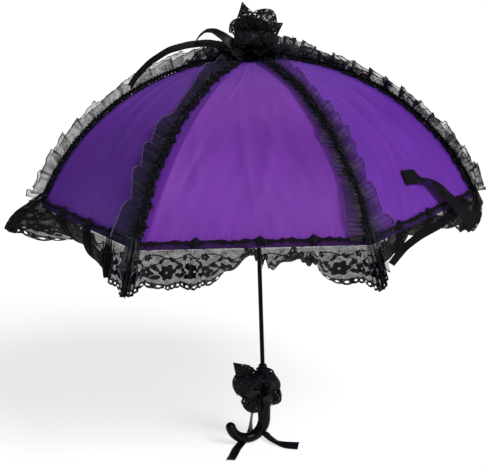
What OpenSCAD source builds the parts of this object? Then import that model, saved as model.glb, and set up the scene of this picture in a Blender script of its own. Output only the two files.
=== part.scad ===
// Folding lace parasol: crook handle, tube shaft, six curved ribs with stretchers and a runner,
// a six-gore canopy with a lace flounce, and lace bows at the top and at the grip.
// +Z runs up the shaft. The origin is the middle of the handle's straight grip.

/* [Handle and shaft] */
// Outer diameter of the shaft tube
shaft_d = 8; // [7:0.5:10]
// Wall of the shaft tube
shaft_wall = 0.8; // [0.6:0.1:1]
// Diameter of the grip where it meets the collar
grip_d = 24; // [20:1:28]
// Diameter of the hook
hook_d = 19.6; // [16:0.2:20]
// Length of the grip's straight part
grip_len = 90; // [80:1:110]
// Radius of the hook's centre line
hook_r = 32; // [28:1:40]
// Angle that the hook turns through
hook_bend = 165; // [120:1:175]
// Angle between the hook's plane and the left-right plane
hook_turn = 25; // [0:1:60]
// Height of the collar between grip and shaft
collar_h = 15; // [10:1:20]

/* [Canopy frame] */
// Distance from the shaft's axis to a rib's tip
rim_radius = 386; // [370:1:400]
// Height of the rims' corners above the origin
rim_z = 378; // [360:1:400]
// Height of the rib pivots above the rim
canopy_rise = 252; // [240:1:260]
// Angle that a rib bends through from pivot to tip
rib_bend = 65.6; // [60:0.1:70]
// Diameter of a rib and of a stretcher
rib_d = 2.6; // [2.2:0.1:3]
// Number of ribs
rib_count = 6; // [6]
// Distance from the shaft's axis to the pivots in crown and runner
pivot_r = 9.5; // [9:0.1:10]
// Where the stretcher joins the rib, as a fraction of the rib
stretcher_at = 0.44; // [0.4:0.01:0.48]
// Angle that a rib folds through
fold = 54; // [50:1:56]

/* [Cloth and lace] */
// Thickness of the plain cloth solids
cloth_t = 1.4; // [1.2:0.1:2]
// Depth of the lace flounce
flounce_w = 92; // [60:1:100]
// Angle of the flounce below the level
flounce_dip = 45; // [30:1:60]
// Height above the hem where the flounce is sewn on
flounce_seam = 15; // [10:1:25]
// Width of the closing strap
strap_w = 22; // [15:1:25]
// Width of the satin ribbons
ribbon_w = 18; // [12:1:22]
// Half the width of the lace bow on the top
bow_r = 58; // [45:1:60]
// Half the width of the lace bow at the grip
grip_bow_r = 46; // [35:1:48]

/* [Hidden] */
$fn = 64;

fit = 0.05;      // radial clearance of a pivot or of the runner
gap = 0.3;       // clearance between pieces that move apart
seat = 0.02;     // clearance of a piece seated in another of the same body
shaft_r = shaft_d / 2;
bore_r = shaft_r - shaft_wall;
rib_r = rib_d / 2;
half_step = 180 / rib_count;

// Heights along the shaft
grip_top = grip_len / 2;
hook_z = -grip_len / 2;
floor_z = hook_z - hook_r - hook_d / 2;
collar_top = grip_top + collar_h;
crown_z = rim_z + canopy_rise;
crown_top = crown_z + 8;
shaft_top = crown_top + 4;

// A rib is an arc from its pivot to its tip; angles are measured from the upright at its centre
chord = norm([rim_radius - pivot_r, canopy_rise]);
chord_dip = atan2(canopy_rise, rim_radius - pivot_r);
arc_r = chord / (2 * sin(rib_bend / 2));
arc_start = chord_dip - rib_bend / 2;
arc_end = arc_start + rib_bend;
arc_x = pivot_r - arc_r * sin(arc_start);
arc_z = crown_z - arc_r * cos(arc_start);
function on_arc(angle, offset = 0) =
    [arc_x + (arc_r + offset) * sin(angle), arc_z + (arc_r + offset) * cos(angle)];

// The stretcher is as long as the stretch from the crown's pivot to the rib's joint
joint_drop = 4.5;
joint_angle = arc_start + rib_bend * stretcher_at;
joint = on_arc(joint_angle, -joint_drop);
stretcher_len = norm([joint[0] - pivot_r, crown_z - joint[1]]);
stretcher_lean = atan2(joint[0] - pivot_r, crown_z - joint[1]);
runner_z = crown_z - 2 * stretcher_len * cos(stretcher_lean);
closed_z = crown_z - 2 * stretcher_len * cos(stretcher_lean - fold);

// Pivots
wire_r = 0.6;
eye_r = 2.2;
eye_w = 2.4;
tongue_w = 1.6;
rivet_r = 0.8;

// Crown, runner and catches
crown_r = 12.5;
crown_slot_w = 3.2;
runner_r = 12.5;
runner_slot_w = 2.4;
sleeve_r = 6.7;
sleeve_len = 45;
collar_half = 4.5;
catch_len = 26;
catch_w = 1.6;

// Cloth layers, measured outward from the ribs' centre line
cloth_in = 2.6;
cloth_out = cloth_in + cloth_t;
trim_in = cloth_out + 0.6;
trim_out = trim_in + cloth_t;
seam_gap = 0.15;
cloth_start_x = 16;
cloth_steps = 24;

// ---------- helpers ----------

module at_rib(i) {
    rotate([0, 0, (i - 1) * 2 * half_step])
        children();
}

module across(x, z, r, h) {
    translate([x, h / 2, z])
        rotate([90, 0, 0])
            cylinder(r = r, h = h);
}

module ring(radius, wire) {
    rotate_extrude()
        translate([radius, 0])
            circle(r = wire);
}

// Arc of a rod in a rib's plane, between two angles
module arc_rod(from_angle, to_angle, r, offset = 0) {
    translate([arc_x, 0, arc_z])
        rotate([90, 0, 0])
            rotate([0, 0, 90 - to_angle])
                rotate_extrude(angle = to_angle - from_angle)
                    translate([arc_r + offset, 0])
                        circle(r = r);
}

// Outline of a cloth layer in the plane halfway between two ribs
function layer_points(from_angle, to_angle, offset) = [
    for (k = [0 : cloth_steps])
        let (p = on_arc(from_angle + (to_angle - from_angle) * k / cloth_steps, offset))
            [p[0] * cos(half_step), p[1]]
];
function reversed(points) = [for (k = [len(points) - 1 : -1 : 0]) points[k]];

module layer_outline(from_angle, to_angle, inner, outer) {
    polygon(concat(
        layer_points(from_angle, to_angle, outer),
        reversed(layer_points(from_angle, to_angle, inner))
    ));
}

// Half of a gore: an outline in the mid-gore plane carried straight across to the rib's plane.
// side is 1 for the half to the rib's left seen from outside, and -1 for its right.
module half_gore(i, side) {
    reach = 2 * rim_radius;
    slant = tan(half_step);
    rib_gap = seam_gap / cos(half_step);
    at_rib(i)
        mirror([0, side > 0 ? 1 : 0, 0])
            rotate([0, 0, half_step])
                intersection() {
                    rotate([90, 0, 0])
                        linear_extrude(height = rim_radius)
                            children();
                    linear_extrude(height = 2 * crown_z)
                        polygon([
                            [(seam_gap + rib_gap) / slant, -seam_gap],
                            [reach, -seam_gap],
                            [reach, rib_gap - slant * reach],
                        ]);
                }
}

// ---------- handle and shaft ----------

module handle() {
    color("#141216")
    difference() {
        union() {
            translate([0, 0, hook_z - 2])
                cylinder(r1 = hook_d / 2 + 0.3, r2 = grip_d / 2, h = grip_len + 2);
            rotate([0, 0, hook_turn])
                translate([-hook_r, 0, hook_z]) {
                    rotate([90, 0, 0])
                        rotate([0, 0, -hook_bend])
                            rotate_extrude(angle = hook_bend)
                                translate([hook_r, 0])
                                    circle(r = hook_d / 2);
                    rotate([0, hook_bend, 0])
                        translate([hook_r, 0, 0])
                            sphere(r = hook_d / 2 + 0.3);
                }
        }
        cylinder(r = shaft_r + seat, h = grip_len);
    }
}

module handle_collar() {
    color("#1b191d")
    difference() {
        translate([0, 0, grip_top])
            cylinder(r1 = grip_d / 2 - 1, r2 = shaft_r + 3, h = collar_h);
        translate([0, 0, grip_top - 1])
            cylinder(r = shaft_r + seat, h = collar_h + 2);
    }
}

// Window in the tube for a catch whose pivot is at the origin
module catch_window() {
    translate([1.5, -catch_w / 2 - 0.3, catch_len * 0.35])
        cube([shaft_r, catch_w + 0.6, catch_len * 0.65 + 0.8]);
}

module at_upper_catch() {
    translate([0, 0, runner_z - sleeve_len - gap - catch_len])
        children();
}

module at_lower_catch() {
    translate([0, 0, closed_z + collar_half + gap + catch_len])
        mirror([0, 0, 1])
            children();
}

stop_z = runner_z + collar_half + 1.4;

module shaft() {
    color("#1a1a1d")
    difference() {
        cylinder(r = shaft_r, h = shaft_top);
        translate([0, 0, -1])
            cylinder(r = bore_r, h = shaft_top - 2);
        at_upper_catch() {
            catch_window();
            across(0, 0, wire_r + seat, 2 * shaft_d);
        }
        at_lower_catch() {
            catch_window();
            across(0, 0, wire_r + seat, 2 * shaft_d);
        }
        across(0, stop_z, 1 + seat, 2 * shaft_d);
    }
}

module shaft_pins() {
    color("silver") {
        at_upper_catch()
            across(0, 0, wire_r, 2 * shaft_r - 0.2);
        at_lower_catch()
            across(0, 0, wire_r, 2 * shaft_r - 0.2);
        across(0, stop_z, 1, 2 * shaft_r + 3.4);
    }
}

module catch_leaf() {
    rotate([90, 0, 0])
        translate([0, 0, -catch_w / 2])
            linear_extrude(height = catch_w)
                difference() {
                    polygon([
                        [-1.3, -1.6], [1.3, -1.6], [1.6, catch_len - 14], [6, catch_len - 3],
                        [6, catch_len], [0.4, catch_len], [-1.3, 4],
                    ]);
                    circle(r = wire_r + fit);
                }
}

module upper_catch() {
    color("silver")
    at_upper_catch()
        catch_leaf();
}

module lower_catch() {
    color("silver")
    at_lower_catch()
        catch_leaf();
}

// ---------- crown and cap ----------

module crown() {
    color("#222024")
    difference() {
        translate([0, 0, crown_z - 7])
            cylinder(r = crown_r, h = crown_top - crown_z + 7);
        translate([0, 0, crown_z - 8])
            cylinder(r = shaft_r + seat, h = 20);
        translate([0, 0, crown_z])
            ring(pivot_r, wire_r + seat);
        for (i = [1 : rib_count])
            at_rib(i)
                translate([pivot_r - eye_r - 0.5, -crown_slot_w / 2, crown_z - 8])
                    cube([crown_r, crown_slot_w, 8 + 3.6]);
    }
}

module crown_wire() {
    color("silver")
    translate([0, 0, crown_z])
        ring(pivot_r, wire_r);
}

module canopy_washer() {
    color("#1d1b20")
    translate([0, 0, crown_top + 0.2])
        difference() {
            cylinder(r = 26, h = 2);
            translate([0, 0, -1])
                cylinder(r = shaft_r + seat, h = 4);
        }
}

cap_z = crown_top + 2.4;
cap_r = 9;

module finial_cap() {
    color("#1d1b20")
    difference() {
        translate([0, 0, cap_z])
            rotate_extrude()
                polygon([[0, 0], [cap_r, 0], [cap_r, 7], [cap_r - 2, 10], [cap_r - 5, 11.5], [0, 12]]);
        translate([0, 0, cap_z - 1])
            cylinder(r = shaft_r + seat, h = shaft_top - cap_z + 1.2);
    }
}

// ---------- bows and ribbons ----------

module top_bow() {
    color("#121014")
    translate([0, 0, cap_z])
        rotate_extrude()
            polygon([
                [cap_r + 0.4, 0.4], [26, 0.4], [bow_r, 50], [bow_r * 0.86, 88],
                [20, 102], [0, 102], [0, 12.6], [cap_r + 0.4, 12.6],
            ]);
}

grip_bow_z = 22;

module grip_bow() {
    inner = grip_d / 2 + 0.5;
    color("#121014")
    translate([0, 0, grip_bow_z])
        rotate_extrude()
            polygon([
                [inner, -46], [30, -48], [grip_bow_r, -20],
                [grip_bow_r, 24], [30, 46], [inner, 46],
            ]);
}

// A ribbon that hangs beside the grip and then lies out level, just below the hook
module grip_tail(turn, start_r, flat_len, flat_turn) {
    tail_t = 1.2;
    tail_z = floor_z - gap - tail_t;
    hang = grip_bow_z - 50 - tail_z;
    rotate([0, 0, turn])
        translate([start_r, -ribbon_w / 2, tail_z]) {
            cube([tail_t, ribbon_w, hang]);
            translate([0, ribbon_w / 2, 0])
                rotate([0, 0, flat_turn])
                    translate([0, -ribbon_w / 2, 0])
                        cube([flat_len, ribbon_w, tail_t]);
        }
}

module grip_tail_left() {
    color("#0e0d10")
    grip_tail(158, 26, 190, 95);
}

module grip_tail_right() {
    color("#0e0d10")
    grip_tail(80, 26, 88, -132);
}

// Satin ribbon that lies along the left rib from the top bow
module top_ribbon() {
    from_angle = arc_start + 5;
    to_angle = arc_start + 33;
    color("#121014")
    at_rib(4)
        translate([0, ribbon_w / 2, 0])
            rotate([90, 0, 0])
                linear_extrude(height = ribbon_w)
                    polygon(concat(
                        [for (k = [0 : 12]) on_arc(from_angle + (to_angle - from_angle) * k / 12, 11)],
                        [for (k = [12 : -1 : 0]) on_arc(from_angle + (to_angle - from_angle) * k / 12, 9.8)]
                    ));
}

// ---------- runner ----------

module runner() {
    color("#202024")
    translate([0, 0, runner_z])
        difference() {
            union() {
                translate([0, 0, -collar_half])
                    cylinder(r = runner_r, h = 2 * collar_half);
                translate([0, 0, -sleeve_len])
                    cylinder(r = sleeve_r, h = sleeve_len);
                translate([0, 0, -sleeve_len])
                    cylinder(r = sleeve_r + 1.8, h = 4);
            }
            translate([0, 0, -sleeve_len - 1])
                cylinder(r = shaft_r + fit, h = sleeve_len + collar_half + 2);
            for (i = [1 : rib_count])
                at_rib(i)
                    translate([pivot_r - eye_r - 0.45, -runner_slot_w / 2, -collar_half - 1])
                        cube([runner_r, runner_slot_w, 2 * collar_half + 2]);
        }
}

// ---------- ribs and stretchers ----------

module rib(i) {
    color("#2b2b30")
    at_rib(i)
        difference() {
            union() {
                arc_rod(arc_start, arc_end, rib_r);
                across(pivot_r, crown_z, eye_r, eye_w);
                translate([joint[0], 0, joint[1]])
                    rotate([0, joint_angle, 0])
                        translate([-2.2, -tongue_w / 2, -1.6])
                            cube([4.4, tongue_w, joint_drop + 1.6]);
                across(joint[0], joint[1], rivet_r, 6);
                for (end = [-1, 1])
                    translate([0, end * 2.75, 0])
                        across(joint[0], joint[1], 1.5, 0.5);
            }
            across(pivot_r, crown_z, wire_r + 0.1, 4 * eye_w);
        }
}

module rib_1() { rib(1); }
module rib_2() { rib(2); }
module rib_3() { rib(3); }
module rib_4() { rib(4); }
module rib_5() { rib(5); }
module rib_6() { rib(6); }

// Ball cap pushed over a rib's end, with the ball just past the hem
module tip(i) {
    ball = on_arc(arc_end + 0.5);
    color("#1a181c")
    at_rib(i)
        difference() {
            union() {
                translate([ball[0], 0, ball[1]])
                    sphere(r = 3);
                arc_rod(arc_end - 1, arc_end + 0.4, rib_r + 0.6);
            }
            arc_rod(arc_end - 2, arc_end, rib_r + seat);
        }
}

module tip_1() { tip(1); }
module tip_2() { tip(2); }
module tip_3() { tip(3); }
module tip_4() { tip(4); }
module tip_5() { tip(5); }
module tip_6() { tip(6); }

// Stretcher from the rib's joint, along its own +X, to the tongue in the runner
module stretcher(i) {
    fork_len = 9;
    ear_in = tongue_w / 2 + gap;
    ear_t = 1.05;
    end_len = 8;
    color("#2b2b30")
    at_rib(i)
        translate([joint[0], 0, joint[1]])
            rotate([0, 90 + stretcher_lean, 0])
                difference() {
                    union() {
                        for (s = [-1, 1])
                            translate([0, s * (ear_in + ear_t / 2), 0]) {
                                across(0, 0, 2.4, ear_t);
                                translate([0, -ear_t / 2, -2])
                                    cube([fork_len, ear_t, 4]);
                            }
                        translate([fork_len - 2, 0, 0])
                            rotate([0, 90, 0])
                                cylinder(r = rib_r, h = stretcher_len - fork_len + 2 - end_len);
                        translate([stretcher_len - end_len - 2, -tongue_w / 2, -1.6])
                            cube([end_len + 2, tongue_w, 3.2]);
                        across(stretcher_len, 0, eye_r, tongue_w);
                    }
                    across(0, 0, rivet_r + fit, 8);
                    across(stretcher_len, 0, wire_r + 0.1, 8);
                }
}

module stretcher_1() { stretcher(1); }
module stretcher_2() { stretcher(2); }
module stretcher_3() { stretcher(3); }
module stretcher_4() { stretcher(4); }
module stretcher_5() { stretcher(5); }
module stretcher_6() { stretcher(6); }

// ---------- canopy ----------

cloth_from = asin((cloth_start_x - arc_x) / arc_r);
cloth_to = arc_end - 0.15;

module gore(i, side) {
    color("#5c2a9a")
    half_gore(i, side)
        layer_outline(cloth_from, cloth_to, cloth_in, cloth_out);
}

// Outline of the flounce: from its seam above the hem, out and down past the hem
module flounce(i, side) {
    seam_angle = cloth_to - flounce_seam / arc_r * 180 / PI;
    inner = on_arc(seam_angle, trim_in);
    outer = on_arc(seam_angle, trim_out);
    along = flounce_w * [cos(flounce_dip), -sin(flounce_dip)];
    squeeze = cos(half_step);
    color("#17151a")
    half_gore(i, side)
        polygon([
            for (p = [inner, outer, outer + along, inner + along]) [p[0] * squeeze, p[1]]
        ]);
}

module gore_1_left() { gore(1, 1); }
module gore_1_right() { gore(1, -1); }
module gore_2_left() { gore(2, 1); }
module gore_2_right() { gore(2, -1); }
module gore_3_left() { gore(3, 1); }
module gore_3_right() { gore(3, -1); }
module gore_4_left() { gore(4, 1); }
module gore_4_right() { gore(4, -1); }
module gore_5_left() { gore(5, 1); }
module gore_5_right() { gore(5, -1); }
module gore_6_left() { gore(6, 1); }
module gore_6_right() { gore(6, -1); }

module flounce_1_left() { flounce(1, 1); }
module flounce_1_right() { flounce(1, -1); }
module flounce_2_left() { flounce(2, 1); }
module flounce_2_right() { flounce(2, -1); }
module flounce_3_left() { flounce(3, 1); }
module flounce_3_right() { flounce(3, -1); }
module flounce_4_left() { flounce(4, 1); }
module flounce_4_right() { flounce(4, -1); }
module flounce_5_left() { flounce(5, 1); }
module flounce_5_right() { flounce(5, -1); }
module flounce_6_left() { flounce(6, 1); }
module flounce_6_right() { flounce(6, -1); }

// Closing strap, lying down the half gore to the first rib's left
module strap() {
    from_seam = 62;
    color("#121014")
    intersection() {
        half_gore(1, 1)
            layer_outline(arc_end - 18, arc_end - 3, trim_in, trim_out);
        rotate([0, 0, -half_step])
            translate([0, from_seam, 0])
                cube([2 * rim_radius, strap_w, 2 * crown_z]);
    }
}

handle();
handle_collar();
shaft();
shaft_pins();
crown();
crown_wire();
canopy_washer();
finial_cap();
top_bow();
grip_bow();
grip_tail_left();
grip_tail_right();
runner();
upper_catch();
lower_catch();
rib_1();
rib_2();
rib_3();
rib_4();
rib_5();
rib_6();
tip_1();
tip_2();
tip_3();
tip_4();
tip_5();
tip_6();
stretcher_1();
stretcher_2();
stretcher_3();
stretcher_4();
stretcher_5();
stretcher_6();
gore_1_left();
gore_1_right();
gore_2_left();
gore_2_right();
gore_3_left();
gore_3_right();
gore_4_left();
gore_4_right();
gore_5_left();
gore_5_right();
gore_6_left();
gore_6_right();
flounce_1_left();
flounce_1_right();
flounce_2_left();
flounce_2_right();
flounce_3_left();
flounce_3_right();
flounce_4_left();
flounce_4_right();
flounce_5_left();
flounce_5_right();
flounce_6_left();
flounce_6_right();
strap();
top_ribbon();
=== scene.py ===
"""The looks of the lace parasol: satin panels, lace flounce, organza frills, bows, ribbons and handle."""

import bpy
import numpy as np
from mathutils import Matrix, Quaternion, Vector


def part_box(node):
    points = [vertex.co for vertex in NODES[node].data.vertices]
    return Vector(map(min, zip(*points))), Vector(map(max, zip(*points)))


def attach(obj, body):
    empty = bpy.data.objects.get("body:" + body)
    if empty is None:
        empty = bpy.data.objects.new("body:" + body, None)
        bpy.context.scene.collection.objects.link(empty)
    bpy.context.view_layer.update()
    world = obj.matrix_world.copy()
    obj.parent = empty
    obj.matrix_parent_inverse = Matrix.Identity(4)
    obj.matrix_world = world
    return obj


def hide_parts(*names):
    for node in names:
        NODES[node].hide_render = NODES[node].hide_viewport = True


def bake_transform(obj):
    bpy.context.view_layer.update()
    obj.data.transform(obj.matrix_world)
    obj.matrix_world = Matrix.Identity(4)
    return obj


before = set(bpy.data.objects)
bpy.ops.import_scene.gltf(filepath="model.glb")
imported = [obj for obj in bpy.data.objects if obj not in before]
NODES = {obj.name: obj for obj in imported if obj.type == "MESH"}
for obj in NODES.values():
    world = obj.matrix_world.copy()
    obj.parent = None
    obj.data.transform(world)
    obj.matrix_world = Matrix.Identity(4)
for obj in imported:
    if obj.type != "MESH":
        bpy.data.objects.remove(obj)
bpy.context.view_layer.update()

# ---------------------------------------------------------------- sizes, in metres

RIM_RADIUS = 0.386       # pivot axis to rib tip
RIM_Z = 0.378            # height of the rib tips
PIVOT_Z = 0.630          # height of the ribs' pivots in the crown
PIVOT_R = 0.0095
RIB_BEND = np.radians(65.6)
CLOTH_START_R = 0.016
CLOTH_LIFT = 0.0033      # cloth above the ribs' centre line
TRIM_LIFT = 0.0042
HEM_OVER = 0.012         # satin below the rib tips, under the flounce
FLOUNCE_DEPTH = 0.096
FLOUNCE_FULLNESS = 9     # lace repeats gathered into each gore
FLOOR_Z = -0.0884
THREAD_RADIUS = 0.00017

# A rib is an arc; its angles are measured from the upright at the arc's centre
CHORD = np.hypot(RIM_RADIUS - PIVOT_R, PIVOT_Z - RIM_Z)
ARC_R = CHORD / (2 * np.sin(RIB_BEND / 2))
PIVOT_ANGLE = np.arctan2(PIVOT_Z - RIM_Z, RIM_RADIUS - PIVOT_R) - RIB_BEND / 2
ARC_X = PIVOT_R - ARC_R * np.sin(PIVOT_ANGLE)
ARC_Z = PIVOT_Z - ARC_R * np.cos(PIVOT_ANGLE)
CLOTH_START = np.arcsin((CLOTH_START_R - ARC_X) / ARC_R)
CLOTH_END = PIVOT_ANGLE + RIB_BEND - np.radians(0.15)
CLOTH_LEN = ARC_R * (CLOTH_END - CLOTH_START)

UP = np.array([0.0, 0.0, 1.0])
TAN30 = np.tan(np.pi / 6)
COS30 = np.cos(np.pi / 6)

GROUND = bpy.context.scene.collection


# ---------------------------------------------------------------- meshes

def unit(v):
    """v scaled to length one, along its last axis."""
    v = np.asarray(v, float)
    return v / np.maximum(np.linalg.norm(v, axis=-1, keepdims=True), 1e-12)


def smooth(x, low, high):
    """Rises from 0 at low to 1 at high without a corner."""
    x = np.clip((x - low) / (high - low), 0, 1)
    return x * x * (3 - 2 * x)


def scaled(amounts, direction):
    """The direction, once for each amount and that long."""
    return np.multiply.outer(amounts, direction)


def grid(rows, columns):
    """Two arrays of values over a grid; rows and columns are (first, last, count)."""
    return np.meshgrid(np.linspace(*rows), np.linspace(*columns), indexing="ij")


def around(count, columns):
    """The same, with the rows as count angles once round."""
    return np.meshgrid(np.linspace(0, 2 * np.pi, count + 1)[:-1], np.linspace(*columns), indexing="ij")


def hold(piece, body):
    """The piece moves with the body."""
    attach(piece, body)
    return piece


def new_piece(name, points, faces, uv, materials, face_material=None):
    """A mesh object at the origin, with one UV point per vertex."""
    mesh = bpy.data.meshes.new(name)
    mesh.from_pydata(np.asarray(points).tolist(), [], faces)
    corners = np.empty(len(mesh.loops), np.int32)
    mesh.loops.foreach_get("vertex_index", corners)
    layer = mesh.uv_layers.new(name="flat")
    layer.data.foreach_set("uv", np.asarray(uv, np.float32)[corners].ravel())
    for material in materials:
        mesh.materials.append(material)
    if face_material is not None:
        mesh.polygons.foreach_set("material_index", np.asarray(face_material, np.int32))
    mesh.polygons.foreach_set("use_smooth", np.ones(len(mesh.polygons), bool))
    mesh.update()
    piece = bpy.data.objects.new(name, mesh)
    GROUND.objects.link(piece)
    return piece


def grid_faces(rows, columns, flip=False, wrap=False):
    """Quads of a rows x columns grid; wrap joins the last row to the first."""
    ids = np.arange(rows * columns).reshape(rows, columns)
    if wrap:
        ids = np.vstack([ids, ids[:1]])
    quads = np.stack([ids[:-1, :-1], ids[1:, :-1], ids[1:, 1:], ids[:-1, 1:]], -1).reshape(-1, 4)
    if flip:
        quads = quads[:, ::-1]
    return quads.tolist()


def grid_piece(name, points, uv, material, flip=False):
    """A sheet through points[i, j]."""
    rows, columns = points.shape[:2]
    faces = grid_faces(rows, columns, flip)
    return new_piece(name, points.reshape(-1, 3), faces, uv.reshape(-1, 2), [material])


# Polygons of a grid cell for each set of its corners that are inside: corners 0 to 3, crossings 4 to 7
CELL_CASES = {
    1: [[0, 4, 7]], 2: [[1, 5, 4]], 3: [[0, 1, 5, 7]], 4: [[2, 6, 5]],
    5: [[0, 4, 7], [2, 6, 5]], 6: [[1, 2, 6, 4]], 7: [[0, 1, 2, 6, 7]], 8: [[3, 7, 6]],
    9: [[0, 4, 6, 3]], 10: [[1, 5, 4], [3, 7, 6]], 11: [[0, 1, 5, 6, 3]], 12: [[2, 3, 7, 5]],
    13: [[0, 4, 5, 2, 3]], 14: [[1, 2, 3, 7, 4]], 15: [[0, 1, 2, 3]],
}
JOINED_CASES = {5: [[0, 4, 5, 2, 6, 7]], 10: [[1, 5, 6, 3, 7, 4]]}


def cut_faces(field, first_id, joined):
    """Faces over the part of a grid where field is above 0, cut along its zero line.

    joined is whether two opposite corners of a cell meet across it.

    Vertex ids: grid corners first, then the crossings on the two directions of grid edges.
    """
    rows, columns = field.shape
    corner = np.arange(rows * columns).reshape(rows, columns)
    along = first_id + np.arange((rows - 1) * columns).reshape(rows - 1, columns)
    across = first_id + along.size + np.arange(rows * (columns - 1)).reshape(rows, columns - 1)
    inside = field > 0
    a, b, c, d = inside[:-1, :-1], inside[1:, :-1], inside[1:, 1:], inside[:-1, 1:]
    case = a * 1 + b * 2 + c * 4 + d * 8
    ids = np.stack([
        corner[:-1, :-1], corner[1:, :-1], corner[1:, 1:], corner[:-1, 1:],
        along[:, :-1], across[1:, :], along[:, 1:], across[:-1, :],
    ], -1)
    faces = []
    cases = {**CELL_CASES, **JOINED_CASES} if joined else CELL_CASES
    for number, shapes in cases.items():
        cells = ids[case == number]
        for shape in shapes:
            faces += cells[:, shape].tolist()
    return faces


def crossings(field, u, v):
    """Flat positions of the zero crossings on the grid's edges, in the order cut_faces numbers them."""
    def between(f0, f1, p0, p1):
        """Where the field's line from f0 to f1 crosses 0, as a place from p0 to p1."""
        share = np.where((f0 > 0) != (f1 > 0), f0 / np.where(f0 == f1, 1, f0 - f1), 0.5)
        return p0 + (p1 - p0) * np.clip(share, 0.02, 0.98)
    u_along = between(field[:-1], field[1:], u[:-1], u[1:])
    v_across = between(field[:, :-1], field[:, 1:], v[:, :-1], v[:, 1:])
    return (
        np.concatenate([u_along.ravel(), u[:, :-1].ravel()]),
        np.concatenate([v[:-1].ravel(), v_across.ravel()]),
    )


def lace_piece(name, start, end, depth, cell, pattern, place, materials):
    """Lace cut from a flat strip, from start to end along it, and then placed by place(u, v).

    pattern(u, v) gives two fields: above 0 inside the lace's outline, and above 0 where thread covers it.
    """
    u, v = grid((start, end, int(round((end - start) / cell)) + 1), (0, depth, int(round(depth / cell)) + 1))
    outline, thread = pattern(u, v)
    covered = np.minimum(outline, thread)
    open_net = np.minimum(outline, -thread)
    flat_u, flat_v = [u.ravel()], [v.ravel()]
    faces, which, first = [], [], u.size
    for slot, field in enumerate((covered, open_net)):
        more_u, more_v = crossings(field, u, v)
        part = cut_faces(field, first, joined=slot == 1)
        faces += part
        which += [slot] * len(part)
        flat_u.append(more_u)
        flat_v.append(more_v)
        first += len(more_u)
    flat_u, flat_v = np.concatenate(flat_u), np.concatenate(flat_v)
    used = np.unique(np.concatenate([np.asarray(f) for f in faces]))
    lookup = np.full(len(flat_u), -1)
    lookup[used] = np.arange(len(used))
    table = lookup.tolist()
    faces = [[table[k] for k in f] for f in faces]
    flat_u, flat_v = flat_u[used], flat_v[used]
    uv = np.stack([flat_u, flat_v], -1)
    return new_piece(name, place(flat_u, flat_v), faces, uv, materials, which)


# ---------------------------------------------------------------- the canopy's shape

def outward(azimuth):
    """Level direction away from the shaft."""
    return np.array([np.cos(azimuth), np.sin(azimuth), 0.0])


def sideways(azimuth):
    """Level direction round the shaft, square to outward."""
    return np.array([-np.sin(azimuth), np.cos(azimuth), 0.0])


def rib_azimuth(i):
    """Angle round the shaft at which rib i lies."""
    return np.radians(60.0 * (i - 1))


def gore_azimuth(gore):
    """Angle round the shaft of the gore's middle."""
    return rib_azimuth(gore) + np.pi / 6


def angle_at(t):
    """Angle on the rib's arc, for t from the crown (0) to the hem (1)."""
    return CLOTH_START + (CLOTH_END - CLOTH_START) * t


def on_arc(angle, lift=0.0):
    """Distance from the shaft and height of a point of the rib's arc, or lift above it."""
    return ARC_X + (ARC_R + lift) * np.sin(angle), ARC_Z + (ARC_R + lift) * np.cos(angle)


def on_gore(gore, q, t, lift):
    """Points of the taut cloth between rib gore (q = 0) and the next rib (q = 1), and its outward normals.

    t runs from the crown (0) to the hem (1) and may pass 1 a little.
    """
    angle = angle_at(t)
    radius, height = on_arc(angle)
    fall, run = np.sin(angle), np.cos(angle) * COS30
    size = np.hypot(fall, run)
    level, rise = fall / size, run / size
    mid, along = outward(gore_azimuth(gore)), sideways(gore_azimuth(gore))
    points = (
        scaled(radius * COS30 + level * lift, mid)
        + scaled((q - 0.5) * (radius + 2 * lift * level * TAN30), along)
        + scaled(height + rise * lift, UP)
    )
    normals = scaled(level, mid) + scaled(rise, UP)
    return points, normals


def ridge(q, t, from_q, from_t, to_q, to_t, width):
    """A fold line in the cloth: 1 on the line, falling off to each side and towards its ends."""
    share = np.clip((t - from_t) / (to_t - from_t), 0, 1)
    centre = from_q + (to_q - from_q) * share
    return np.exp(-((q - centre) / width) ** 2) * np.sin(np.pi * share) ** 0.7


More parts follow.
